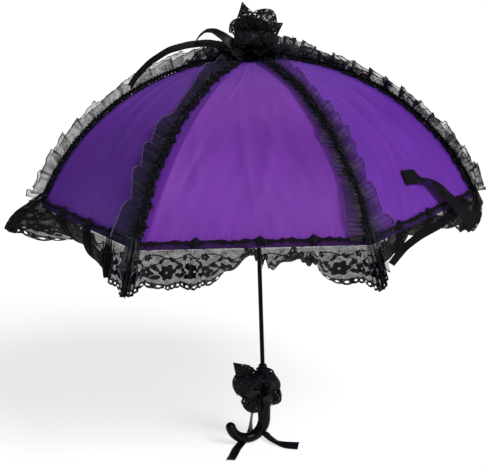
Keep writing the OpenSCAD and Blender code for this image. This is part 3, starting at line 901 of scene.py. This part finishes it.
def top_bow(materials, organza, gathered, satin):
    """The lace bow on the finial: loops of lace over organza puffs, with ruffles round its foot."""
    foot = np.array([0.0, 0.0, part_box("top_bow")[0][2] + 0.010])
    knot = foot + np.array([0, -0.004, 0.014])
    lace_loops("top_bow", materials, knot, [
        ((-0.24, -0.20, 1.0), 0.075, 0.036, 0.009, True, 0.1),
        ((0.50, -0.25, 0.86), 0.064, 0.048, 0.020, False, 0.15),
        ((-0.66, -0.25, 0.72), 0.052, 0.036, 0.012, False, -0.3),
        ((0.93, -0.15, 0.50), 0.064, 0.036, 0.010, True, 0.3),
        ((-0.35, 0.55, 0.75), 0.046, 0.040, 0.014, False, 0.6),
        ((0.55, 0.60, 0.60), 0.046, 0.040, 0.014, False, -0.5),
        ((0.78, -0.60, 0.20), 0.046, 0.036, 0.013, False, 0.2),
        ((-0.62, -0.70, 0.20), 0.046, 0.034, 0.013, False, -0.2),
    ], seed=200)
    for k, turn in enumerate((250, 300, 205, 340, 20, 110)):
        a = np.radians(turn)
        puff(f"top_bow_puff_{k + 1}", organza, knot - np.array([0, 0, 0.006]),
             (0.8 * np.cos(a), 0.8 * np.sin(a), 0.55), 0.038, 0.032, 0.014, roll=0.4 * k, seed=220 + k)
    crown = np.array([0.0, 0.0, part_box("canopy_washer")[1][2] + 0.0025])
    ruffle_ring("top_bow_ruffle_low", gathered, crown, 0.0100, 0.052, 13, -0.002, 0.10, 231)
    ruffle_ring("top_bow_ruffle_sheer", organza, crown + 0.004 * UP, 0.0105, 0.060, 9, 0.004, 0.12, 234)
    ruffle_ring("top_bow_ruffle_high", materials[0], foot + 0.004 * UP, 0.011, 0.036, 11, 0.010, 0.22, 232)
    wrap = np.array([0.0, -0.003, (crown[2] + foot[2]) / 2 + 0.003])
    crumpled_knot("top_bow_wrap", gathered, wrap, (0.024, 0.021, 0.013), 235)
    crumpled_knot("top_bow_knot", satin, knot, (0.011, 0.010, 0.012), 233)


def top_ribbons(satin):
    """The ribbon that leaves the top bow: a loop arching up to the left, and a tail over the left rib."""
    loop = np.array([(-0.020, -0.022, 0.652), (-0.036, -0.024, 0.664), (-0.052, -0.025, 0.678),
                     (-0.068, -0.025, 0.688), (-0.082, -0.024, 0.688), (-0.094, -0.021, 0.678),
                     (-0.103, -0.018, 0.664)])
    facing = np.array([(0.2, -0.9, 0.4), (0.1, -0.8, 0.5), (0.0, -0.6, 0.8), (-0.2, -0.3, 0.9),
                       (-0.5, -0.15, 0.85), (-0.8, -0.1, 0.6), (-0.9, -0.1, 0.4)])
    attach(ribbon_strip("top_ribbon_loop", satin, loop, facing, 0.019), "root")
    tail = np.array([(-0.050, -0.014, 0.659), (-0.080, -0.016, 0.665), (-0.115, -0.015, 0.662),
                     (-0.150, -0.012, 0.653), (-0.184, -0.010, 0.632), (-0.210, -0.008, 0.607),
                     (-0.224, -0.006, 0.585)])
    facing = unit(tail - np.array([0.0, 0.0, 0.45])) + np.array([0, -0.6, 0])
    end = ribbon_strip("top_ribbon_tail", satin, tail, facing, 0.018, notch=0.006)
    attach(end, "rib_4")
    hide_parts("top_ribbon")


def grip_bow(materials, organza, satin):
    """The lace bow tied round the upper end of the grip."""
    low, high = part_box("grip_bow")
    knot = np.array([-0.004, -0.0165, (low[2] + high[2]) / 2 + 0.003])
    lace_loops("grip_bow", materials, knot, [
        ((-0.80, -0.25, 0.80), 0.073, 0.036, 0.008, True, 0.0),
        ((-0.96, -0.30, 0.22), 0.054, 0.046, 0.014, False, 0.1),
        ((-0.42, -0.28, -0.85), 0.052, 0.042, 0.012, False, 0.2),
        ((0.26, -0.20, 0.85), 0.040, 0.034, 0.010, False, -0.2),
        ((0.92, -0.25, 0.20), 0.034, 0.040, 0.012, False, 0.0),
        ((0.72, -0.20, -0.62), 0.046, 0.036, 0.010, False, 0.3),
        ((-0.70, 0.25, -0.30), 0.044, 0.038, 0.012, False, 0.4),
        ((-0.30, -0.45, 0.50), 0.034, 0.034, 0.012, False, 0.1),
        ((0.75, 0.40, 0.05), 0.038, 0.036, 0.012, False, -0.4),
    ], seed=260)
    for k, (x, z) in enumerate(((-0.6, 0.5), (0.65, 0.35), (-0.75, -0.35), (0.5, -0.6))):
        puff(f"grip_bow_puff_{k + 1}", organza, knot, (x, -0.45, z), 0.034, 0.030, 0.010,
             roll=0.3 * k, seed=280 + k)
    crumpled_knot("grip_bow_knot", satin, knot, (0.008, 0.007, 0.009), 290)
    band_r = 0.0132
    a, w = around(96, (-1, 1, 7))
    z = knot[2] + w * 0.006 + 0.001 * np.sin(3 * a)
    ring = np.stack([band_r * np.cos(a), band_r * np.sin(a), z], -1)
    uv = np.stack([a * band_r, w * 0.006], -1)
    band = new_piece("grip_bow_band", ring.reshape(-1, 3), grid_faces(96, 7, wrap=True),
                     uv.reshape(-1, 2), [satin])
    hold(band, "root")


def grip_tails(satin):
    """The two ribbon ends that come down from the grip bow and lie out on the floor."""
    floor = FLOOR_Z + 0.0006
    left = [(-0.012, -0.018, 0.020), (-0.019, -0.012, -0.010), (-0.024, 0.004, -0.045),
            (-0.027, 0.010, -0.078), (-0.040, -0.012, floor + 0.004), (-0.052, -0.050, floor + 0.001),
            (-0.056, -0.078, floor), (-0.061, -0.108, floor + 0.001)]
    facing = [(-0.8, -0.5, 0.1), (-0.95, -0.3, 0.1), (-0.95, -0.25, 0.1), (-0.6, -0.6, 0.4),
              (-0.1, -0.4, 0.9), (0, -0.1, 1), (0, 0, 1), (0, 0, 1)]
    tail = ribbon_strip("grip_tail_long", satin, left, facing, 0.017)
    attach(tail, "root")
    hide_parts("grip_tail_left")
    right = [(0.000, 0.018, 0.020), (0.004, 0.024, -0.010), (0.002, 0.030, -0.050),
             (-0.002, 0.030, -0.076), (0.002, 0.012, floor + 0.006), (0.018, -0.022, floor + 0.005),
             (0.040, -0.044, floor + 0.005), (0.063, -0.052, floor + 0.006)]
    facing = [(0, 1, 0), (0, 1, 0), (0, 0.9, 0.1), (0.2, 0.7, 0.4), (0, 0.1, 1),
              (0, 0.1, 1), (-0.2, -0.5, 0.8), (-0.3, -0.6, 0.8)]
    short = ribbon_strip("grip_tail_short", satin, right, facing, 0.016)
    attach(short, "root")
    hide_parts("grip_tail_right")


def strap_on_gore(satin):
    """The tie strap on the right gore: a square end, a twisted run and a tail over the hem."""
    gore = 6

    def spot(q, t, lift):
        """A point over the satin, and the satin's outward direction there."""
        point, normal = on_gore(gore, np.array([q]), np.array([t]), CLOTH_LIFT + lift)
        return point[0], normal[0]

    side = sideways(gore_azimuth(gore))
    # Place across and down the gore, height over it, and how far the face is turned sideways
    run = [(0.440, 0.848, 0.004, 0), (0.495, 0.856, 0.005, 0), (0.545, 0.863, 0.006, 0),
           (0.585, 0.880, 0.008, 2.0), (0.618, 0.902, 0.011, 0.7), (0.650, 0.938, 0.014, 0),
           (0.68, 0.988, 0.018, 0), (0.70, 1.035, 0.024, -0.2), (0.715, 1.08, 0.030, -0.3)]
    spots = [(spot(q, t, lift), turn) for q, t, lift, turn in run]
    path = [point for (point, normal), turn in spots]
    facing = [normal + side * turn for (point, normal), turn in spots]
    piece = ribbon_strip("tie_strap", satin, path, facing, 0.027)
    bend_with_panel(piece)
    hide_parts("strap")
    # Place across the gore, drop below the hem and distance out from it
    hang = [(0.86, 0.012, 0.014), (0.70, 0.023, 0.020), (0.53, 0.031, 0.022), (0.37, 0.034, 0.020),
            (0.24, 0.042, 0.018), (0.13, 0.060, 0.016)]
    path = [spot(q, 1.0, out)[0] - UP * drop for q, drop, out in hang]
    facing = [spot(q, 1.0, out)[1] * 0.6 + UP * 0.8 for q, drop, out in hang]
    tail = ribbon_strip("tie_strap_tail", satin, path, facing, 0.022, taper=0.45)
    bend_with_panel(tail)


# ---------------------------------------------------------------- handle

def handle(material):
    """The glossy crook: a straight leg that tapers into the hook, with a rounded tip."""
    leg_top = float(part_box("handle")[1][2])
    hook_r, hook_z = 0.0345, -0.0425
    hook_turn = np.radians(165)
    toward = outward(np.radians(205))
    path, radii = [], []
    for share in np.arange(24) / 23:
        path.append(np.array([0, 0, leg_top + (hook_z - leg_top) * share]))
        radii.append(0.0121 + 0.0012 * np.sin(np.pi * share) - 0.0006 * smooth(share, 0.5, 1))
    for k in range(1, 61):
        a = hook_turn * k / 60
        path.append(toward * hook_r * (1 - np.cos(a)) + UP * (hook_z - hook_r * np.sin(a)))
        radii.append(0.0115 - 0.0020 * smooth(k / 60, 0, 0.6))
    hook_end, tip_r = path[-1], radii[-1]
    ahead = unit(path[-1] - path[-2])
    for k in range(1, 14):
        a = np.pi / 2 * k / 13
        path.append(hook_end + ahead * tip_r * np.sin(a) * 1.05)
        radii.append(max(tip_r * np.cos(a), 0.0004))
    path, radii = np.array(path), np.array(radii)
    tangent = unit(np.gradient(path, axis=0))
    side = np.cross(toward, UP)
    other = np.cross(tangent, side)
    a = np.linspace(0, 2 * np.pi, 65)[:-1]
    ring = scaled(np.cos(a), side)[None] + np.sin(a)[None, :, None] * other[:, None]
    points = path[:, None] + ring * radii[:, None, None]
    uv = np.stack(np.meshgrid(np.arange(len(path)) * 0.002, a * 0.011, indexing="ij"), -1)
    ids = np.arange(points.shape[0] * points.shape[1]).reshape(points.shape[:2])
    after = np.roll(ids, -1, axis=1)
    quads = np.stack([ids[:-1], after[:-1], after[1:], ids[1:]], -1).reshape(-1, 4).tolist()
    caps = [ids[0][::-1].tolist(), ids[-1].tolist()]
    piece = new_piece("crook_handle", points.reshape(-1, 3), quads + caps, uv.reshape(-1, 2), [material])
    hold(piece, "root")
    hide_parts("handle")


# ---------------------------------------------------------------- materials

class Look:
    """A Principled material built up node by node; most methods give the socket they end in."""

    def __init__(self, name):
        self.material = bpy.data.materials.new(name)
        self.material.use_nodes = True
        self.surface = self.material.node_tree.nodes["Principled BSDF"]

    def add(self, kind, values=None, **settings):
        """A new node; its values are constants or sockets."""
        return add_node(self.material.node_tree, kind, values, **settings)

    def set(self, **values):
        """Sets or feeds inputs of the surface, named with _ for a space."""
        for name, value in values.items():
            feed(self.material.node_tree, self.surface.inputs[name.replace("_", " ")], value)

    def coordinates(self, output):
        """Object or UV positions."""
        return self.add("ShaderNodeTexCoord").outputs[output]

    def noise(self, scale, detail=3.0, source=None, stretch=None):
        """Noise from 0 to 1, on Object positions unless a source is given."""
        where = source or self.coordinates("Object")
        if stretch:
            where = self.add("ShaderNodeMapping", {"Vector": where, "Scale": stretch}).outputs[0]
        values = {"Vector": where, "Scale": scale, "Detail": detail}
        return self.add("ShaderNodeTexNoise", values).outputs["Fac"]

    def math(self, operation, a, b=0.0, clamp=False):
        """One sum on a and b."""
        return self.add("ShaderNodeMath", {0: a, 1: b}, operation=operation, use_clamp=clamp).outputs[0]

    def ramp(self, value, low_at, low, high_at, high):
        """Colour low up to low_at, and high from high_at."""
        node = self.add("ShaderNodeValToRGB", {"Fac": value})
        for element, position, colour in zip(node.color_ramp.elements, (low_at, high_at), (low, high)):
            element.position = position
            element.color = (*colour, 1)
        return node.outputs["Color"]

    def mottle(self, scale, detail, low, high):
        """A colour that drifts between low and high."""
        return self.ramp(self.noise(scale, detail), 0.3, low, 0.7, high)

    def mix(self, factor, a, b, blend="MIX"):
        """Colours a and b mixed by the factor."""
        values = {"Factor": factor, 6: a, 7: b}
        return self.add("ShaderNodeMix", values, data_type="RGBA", blend_type=blend).outputs[2]

    def level(self, value, low, high, out_low, out_high):
        """The value, taken from the range low to high to the range out_low to out_high."""
        values = {"Value": value, "From Min": low, "From Max": high, "To Min": out_low, "To Max": out_high}
        return self.add("ShaderNodeMapRange", values).outputs[0]

    def bump(self, height, strength, distance):
        """Raises the surface by the height."""
        node = self.add("ShaderNodeBump", {"Height": height, "Strength": strength, "Distance": distance})
        self.set(Normal=node.outputs[0])


def purple_satin():
    """Purple satin: a fine weave with a soft sheen, and a painted highlight that makes it paler at the crown.

    Painted shade makes it darker and bluer along the seams and where it is seen edge on.
    """
    look = Look("purple satin")
    uv = look.coordinates("UV")
    flat = look.add("ShaderNodeSeparateXYZ", {"Vector": uv}).outputs
    white = (1, 1, 1)
    streak = look.noise(60, 3, uv, (1.0, 0.12, 1.0))
    cloud = look.math("MULTIPLY", look.noise(9, 4), 0.55)
    tone = look.math("ADD", cloud, look.math("MULTIPLY", streak, 0.45))
    colour = look.ramp(tone, 0.30, (0.118, 0.0250, 0.262), 0.62, (0.154, 0.0340, 0.340))
    # painted highlight: the satin's colour is made paler towards the crown
    crown = look.level(flat["Y"], 0.04, 0.28, 1.0, 0.0)
    # painted shade: darker and bluer along each seam
    seam = look.level(flat["X"], 0.004, 0.026, 1.0, 0.0)
    # painted shade: darker and bluer where the satin is seen edge on
    edge_on_shade = look.add("ShaderNodeLayerWeight", {"Blend": 0.5}).outputs["Facing"]
    # each painted highlight or shade below multiplies the satin's colour
    for painted_light in (
        look.ramp(crown, 0.0, white, 1.0, (1.60, 2.15, 1.20)),
        look.ramp(seam, 0.0, white, 1.0, (0.50, 0.50, 0.74)),
        look.ramp(edge_on_shade, 0.30, white, 0.85, (0.66, 0.80, 1.14)),
    ):
        colour = look.mix(1.0, colour, painted_light, "MULTIPLY")
    weave = look.add("ShaderNodeTexWave", {"Vector": uv, "Scale": 700.0, "Distortion": 0.6}).outputs["Fac"]
    rough = look.level(look.noise(30, 2), 0.3, 0.7, 0.36, 0.46)
    look.set(Base_Color=colour, Roughness=rough, Sheen_Weight=0.06, Sheen_Roughness=0.35,
             Sheen_Tint=(0.75, 0.55, 1.0, 1), Specular_IOR_Level=0.22, Specular_Tint=(0.75, 0.55, 1.0, 1))
    grain = look.math("ADD", look.math("MULTIPLY", weave, 0.4), look.math("MULTIPLY", streak, 0.6))
    look.bump(grain, 0.25, 0.0004)
    return look.material


def thread_highlight():
    """Grey threads: a painted highlight on the ends of the organza's black threads, where they catch the
    light.
    """
    look = Look("thread highlight")
    # painted highlight: grey instead of the threads' own black
    colour = look.mottle(140, 3, (0.05, 0.05, 0.08), (0.16, 0.16, 0.24))
    look.set(Base_Color=colour, Roughness=0.5, Specular_IOR_Level=0.2)
    return look.material


def lace_thread():
    """Black lace thread with a soft silky roughness."""
    look = Look("lace thread")
    twist = look.noise(900, 2)
    colour = look.mottle(140, 3, (0.0025, 0.0025, 0.0035), (0.0065, 0.0060, 0.0085))
    look.set(Base_Color=colour, Roughness=look.level(twist, 0.3, 0.7, 0.5, 0.75), Specular_IOR_Level=0.10)
    look.bump(twist, 0.5, 0.0004)
    return look.material


def lace_net(name, cell, cover, clear_top=0.0):
    """Black net: cells between threads; cover is how much of a cell its fine filling hides."""
    look = Look(name)
    uv = look.coordinates("UV")
    cells = look.add("ShaderNodeTexVoronoi", {"Vector": uv, "Scale": 1 / cell, "Randomness": 0.45},
                     feature="DISTANCE_TO_EDGE")
    filling = look.level(look.noise(90, 2, uv), 0.3, 0.7, cover - 0.12, cover + 0.12)
    across = look.add("ShaderNodeSeparateXYZ", {"Vector": uv}).outputs["Y"]
    top = look.level(across, clear_top, clear_top + 0.003, 0.45, 1.0)
    filling = look.math("MULTIPLY", filling, top)
    thread = look.level(cells.outputs["Distance"], 0.06, 0.16, 1.0, 0.0)
    alpha = look.math("MAXIMUM", thread, filling)
    colour = look.mottle(200, 2, (0.004, 0.004, 0.005), (0.009, 0.009, 0.011))
    look.set(Base_Color=colour, Roughness=0.7, Specular_IOR_Level=0.05, Alpha=alpha)
    return look.material


def organza(name, thin, thick, light, rim_colour_and_highlight, worked=0.0, streaks=0.30):
    """Sheer black organza, dense at its gathered root and its rolled edge.

    thin and thick are how much its threads hide, worked how much its sewn motifs do, which thin out
    down the rib, and streaks how much its gathers do. light is the colour of a painted sheen on its
    gathers, and the rim colour that of its rolled edge, where a pale one is a painted highlight.
    """
    look = Look(name)
    uv = look.coordinates("UV")
    split = look.add("ShaderNodeSeparateXYZ", {"Vector": uv})
    across = split.outputs["Y"]
    root = look.level(across, 0.0, 0.016, 0.42, 0.0)
    rim = look.level(across, 0.0322, 0.0332, 0.0, 1.0)
    warp = look.noise(260, 3, uv, (1.0, 0.06, 1.0))
    gathers = look.noise(95, 3, uv, (1.0, 0.20, 1.0))
    dense = look.level(gathers, 0.5, 0.7, 0.0, streaks)
    sheer = look.math("ADD", look.level(warp, 0.35, 0.65, thin, thick), dense)
    fewer = look.level(split.outputs["X"], 0.20, 0.36, 1.0, 0.30)
    motifs = look.math("MULTIPLY", look.level(look.noise(75, 2, uv), 0.52, 0.55, 0.0, worked), fewer)
    cells = look.add("ShaderNodeTexVoronoi", {"Vector": uv, "Scale": 110.0}, feature="DISTANCE_TO_EDGE")
    lines = look.level(cells.outputs["Distance"], 0.03, 0.06, worked, 0.0)
    sewn = look.math("ADD", look.math("MAXIMUM", motifs, lines), look.math("MULTIPLY", rim, 0.6))
    cover = look.math("ADD", look.math("ADD", sheer, root), sewn, clamp=True)
    # painted sheen: the gathers are coloured lighter, up to light, as if they catch the light
    body = look.ramp(gathers, 0.35, (0.004, 0.004, 0.006), 0.70, light)
    # the rolled edge's own colour; where it is pale, as in the deep organza, it is a painted highlight
    edged = look.mix(rim, body, (*rim_colour_and_highlight, 1))
    look.set(Base_Color=edged, Roughness=0.45, Specular_IOR_Level=0.15, Alpha=cover)
    look.bump(warp, 0.3, 0.0004)
    return look.material


def gathered_lace():
    """Dense gathered lace and organza, dull black with a rough nap."""
    look = Look("gathered lace")
    tangle = look.noise(420, 4)
    holes = look.level(look.noise(700, 2), 0.34, 0.42, 0.25, 1.0)
    colour = look.mottle(160, 3, (0.0025, 0.0025, 0.0040), (0.0075, 0.0070, 0.0100))
    look.set(Base_Color=colour, Roughness=0.75, Specular_IOR_Level=0.08, Alpha=holes)
    look.bump(tangle, 0.8, 0.001)
    return look.material


def black_ribbon():
    """Black satin ribbon with a soft cool highlight."""
    look = Look("black satin ribbon")
    uv = look.coordinates("UV")
    rib = look.noise(500, 2, uv, (1.0, 0.06, 1.0))
    colour = look.mottle(60, 2, (0.0035, 0.0035, 0.0050), (0.0070, 0.0070, 0.0095))
    look.set(Base_Color=colour, Roughness=look.level(rib, 0.3, 0.7, 0.28, 0.42), Specular_IOR_Level=0.16)
    look.bump(rib, 0.15, 0.0003)
    return look.material


def gloss_plastic():
    """Black glossy plastic of the crook, with very faint handling marks."""
    look = Look("glossy black plastic")
    marks = look.noise(45, 5)
    colour = look.mottle(14, 2, (0.0020, 0.0020, 0.0025), (0.0040, 0.0040, 0.0050))
    look.set(Base_Color=colour, Roughness=look.level(marks, 0.35, 0.7, 0.10, 0.20), Specular_IOR_Level=0.09)
    look.bump(look.noise(22, 2), 0.03, 0.001)
    return look.material


def matte_plastic():
    """Black moulded plastic of the crown, runner and collar."""
    look = Look("moulded black plastic")
    colour = look.mottle(35, 3, (0.004, 0.004, 0.0045), (0.008, 0.008, 0.009))
    look.set(Base_Color=colour, Roughness=look.level(look.noise(60, 3), 0.3, 0.7, 0.38, 0.55),
             Specular_IOR_Level=0.12)
    look.bump(look.noise(500, 2), 0.12, 0.0003)
    return look.material


def enamelled_steel(name, low, high, rough_low, rough_high):
    """Steel with a thin dark coat, slightly uneven."""
    look = Look(name)
    colour = look.mottle(70, 4, low, high)
    look.set(Base_Color=colour, Specular_IOR_Level=0.04,
             Roughness=look.level(look.noise(120, 3), 0.3, 0.7, rough_low, rough_high))
    look.bump(look.noise(300, 2), 0.05, 0.0003)
    return look.material


def bright_steel():
    """Plain spring steel of the catches, pins and rings of wire."""
    look = Look("bright steel")
    brushed = look.noise(250, 2, None, (1.0, 1.0, 0.1))
    colour = look.ramp(brushed, 0.3, (0.42, 0.42, 0.43), 0.7, (0.58, 0.58, 0.59))
    look.set(Base_Color=colour, Metallic=1.0, Roughness=look.level(brushed, 0.3, 0.7, 0.22, 0.38))
    look.bump(brushed, 0.05, 0.0002)
    return look.material


def paint(node, material):
    """Puts the material in each of the node's slots."""
    piece = NODES[node]
    if not piece.material_slots:
        piece.data.materials.append(material)
    for place in piece.material_slots:
        place.material = material


# ---------------------------------------------------------------- light, floor and camera

def area_light(name, place, aim, size, power, colour):
    """A round soft light at place, turned to aim."""
    lamp = bpy.data.lights.new(name, "AREA")
    lamp.shape = "DISK"
    lamp.size = size
    lamp.energy = power
    lamp.color = colour
    light = bpy.data.objects.new(name, lamp)
    light.location = place
    light.rotation_euler = (Vector(aim) - Vector(place)).to_track_quat("-Z", "Y").to_euler()
    GROUND.objects.link(light)


def studio():
    """Pale floor, one broad key light from the front right, and weaker light all round."""
    look = Look("pale floor")
    colour = look.mottle(2, 2, (0.42, 0.42, 0.42), (0.44, 0.44, 0.44))
    look.set(Base_Color=colour, Roughness=0.9, Emission_Color=(1, 1, 1, 1), Emission_Strength=0.73)
    span = 12.0
    far = span * 3
    corners = [(x, y, FLOOR_Z) for x, y in ((-span, -span), (span, -span), (span, far), (-span, far))]
    floor = new_piece("floor", corners, [[0, 1, 2, 3]], np.array(corners)[:, :2], [look.material])
    aim = (0, 0, 0.40)
    key = bpy.data.lights.new("key", "SUN")
    key.energy = 3.05
    key.angle = np.radians(26)
    key.color = (1.0, 0.95, 0.94)
    sun = bpy.data.objects.new("key", key)
    sun.rotation_euler = Vector((-0.506, 0.604, -0.616)).to_track_quat("-Z", "Y").to_euler()
    GROUND.objects.link(sun)
    area_light("top fill", (-0.4, 0.6, 3.4), aim, 2.4, 9, (0.85, 0.88, 1.0))
    area_light("left fill", (-3.0, -1.2, 1.0), aim, 1.6, 6, (0.40, 0.55, 1.0))
    world = bpy.data.worlds.new("studio")
    world.use_nodes = True
    back = world.node_tree.nodes["Background"]
    back.inputs["Color"].default_value = (1, 1, 1, 1)
    back.inputs["Strength"].default_value = 0.09
    bpy.context.scene.world = world
    bpy.context.scene.view_settings.view_transform = "Standard"


def camera():
    """A little above the rim, close to square on to the front gore, and rolled a little."""
    eye_up, turn, roll = np.radians((12.9, 1.6, -1.77))
    distance = 3.896
    rim = np.array([0, 0, RIM_Z])
    back = np.array([np.sin(turn) * np.cos(eye_up), -np.cos(turn) * np.cos(eye_up), np.sin(eye_up)])
    lens = bpy.data.cameras.new("camera")
    lens.sensor_width = 36
    lens.lens = 158.3
    lens.shift_x = -0.0274
    lens.shift_y = -0.0744
    view = bpy.data.objects.new("camera", lens)
    view.location = rim + back * distance
    view.rotation_mode = "QUATERNION"
    view.rotation_quaternion = Vector(-back).to_track_quat("-Z", "Y") @ Quaternion((0, 0, 1), roll)
    GROUND.objects.link(view)
    bpy.context.scene.camera = view


# ---------------------------------------------------------------- the parasol

SATIN = purple_satin()
THREAD = lace_thread()
THREAD_HIGHLIGHT = thread_highlight()
NET = lace_net("flounce net", 0.0018, 0.72, 0.013)
BOW_NET = lace_net("bow net", 0.0034, 0.30)
ORGANZA = organza("worked organza", 0.40, 0.58, (0.012, 0.012, 0.014), (0.012, 0.012, 0.016), 0.45)
CLEAR_ORGANZA = organza("clear organza", 0.30, 0.46, (0.012, 0.012, 0.012), (0.012, 0.012, 0.014), 0.18)
SOFT_ORGANZA = organza("soft organza", 0.44, 0.64, (0.008, 0.008, 0.018), (0.012, 0.012, 0.020), streaks=0.12)
# its pale rim colour is a painted highlight along the wings' rolled edge
DEEP_ORGANZA = organza("deep organza", 0.68, 0.84, (0.020, 0.019, 0.034), (0.085, 0.085, 0.150))
BOW_ORGANZA = organza("bow organza", 0.72, 0.90, (0.009, 0.009, 0.012), (0.012, 0.012, 0.016))
GRIP_NET = lace_net("grip bow net", 0.0034, 0.78)
FRILL_CLOTH = {1: ORGANZA, 2: ORGANZA, 3: ORGANZA, 4: CLEAR_ORGANZA, 5: DEEP_ORGANZA, 6: SOFT_ORGANZA}
GATHERED = gathered_lace()
RIBBON = black_ribbon()

for number, half in HALVES:
    gore_half(number, half, SATIN)
    flounce_half(number, half, [THREAD, NET])
    hem_gather(number, half, GATHERED)
    frill_wing(number, half, FRILL_CLOTH[number])

FRAYED = thread_nodes()
for number in range(1, 7):
    rib_gather(number, GATHERED)
    frayed_rib("rib_threads", number, FRAYED, THREAD, 0.0009, 0.0160)
    frill_end(number, 0.070 if number in (5, 6) else 0.040, FRILL_CLOTH[number])
# threads painted grey as highlights along ribs 5 and 6
for number in (5, 6):
    frayed_rib("highlight_strands", number, FRAYED, THREAD_HIGHLIGHT, 0.0042, 0.0170)

top_bow([THREAD, BOW_NET], BOW_ORGANZA, GATHERED, RIBBON)
top_ribbons(RIBBON)
grip_bow([THREAD, GRIP_NET], BOW_ORGANZA, RIBBON)
grip_tails(RIBBON)
strap_on_gore(RIBBON)
handle(gloss_plastic())

PLASTIC = matte_plastic()
SHAFT_STEEL = enamelled_steel(
    "black coated shaft", (0.0035, 0.0035, 0.0040), (0.0065, 0.0065, 0.0070), 0.30, 0.45)
RIB_STEEL = enamelled_steel("black coated ribs", (0.006, 0.006, 0.0065), (0.012, 0.012, 0.013), 0.35, 0.50)
STEEL = bright_steel()
paint("shaft", SHAFT_STEEL)
for node in ("crown", "runner", "handle_collar", "canopy_washer", "finial_cap"):
    paint(node, PLASTIC)
for node in ("upper_catch", "lower_catch", "shaft_pins", "crown_wire"):
    paint(node, STEEL)
for number in range(1, 7):
    paint(f"rib_{number}", RIB_STEEL)
    paint(f"stretcher_{number}", RIB_STEEL)
    paint(f"tip_{number}", PLASTIC)

studio()
camera()
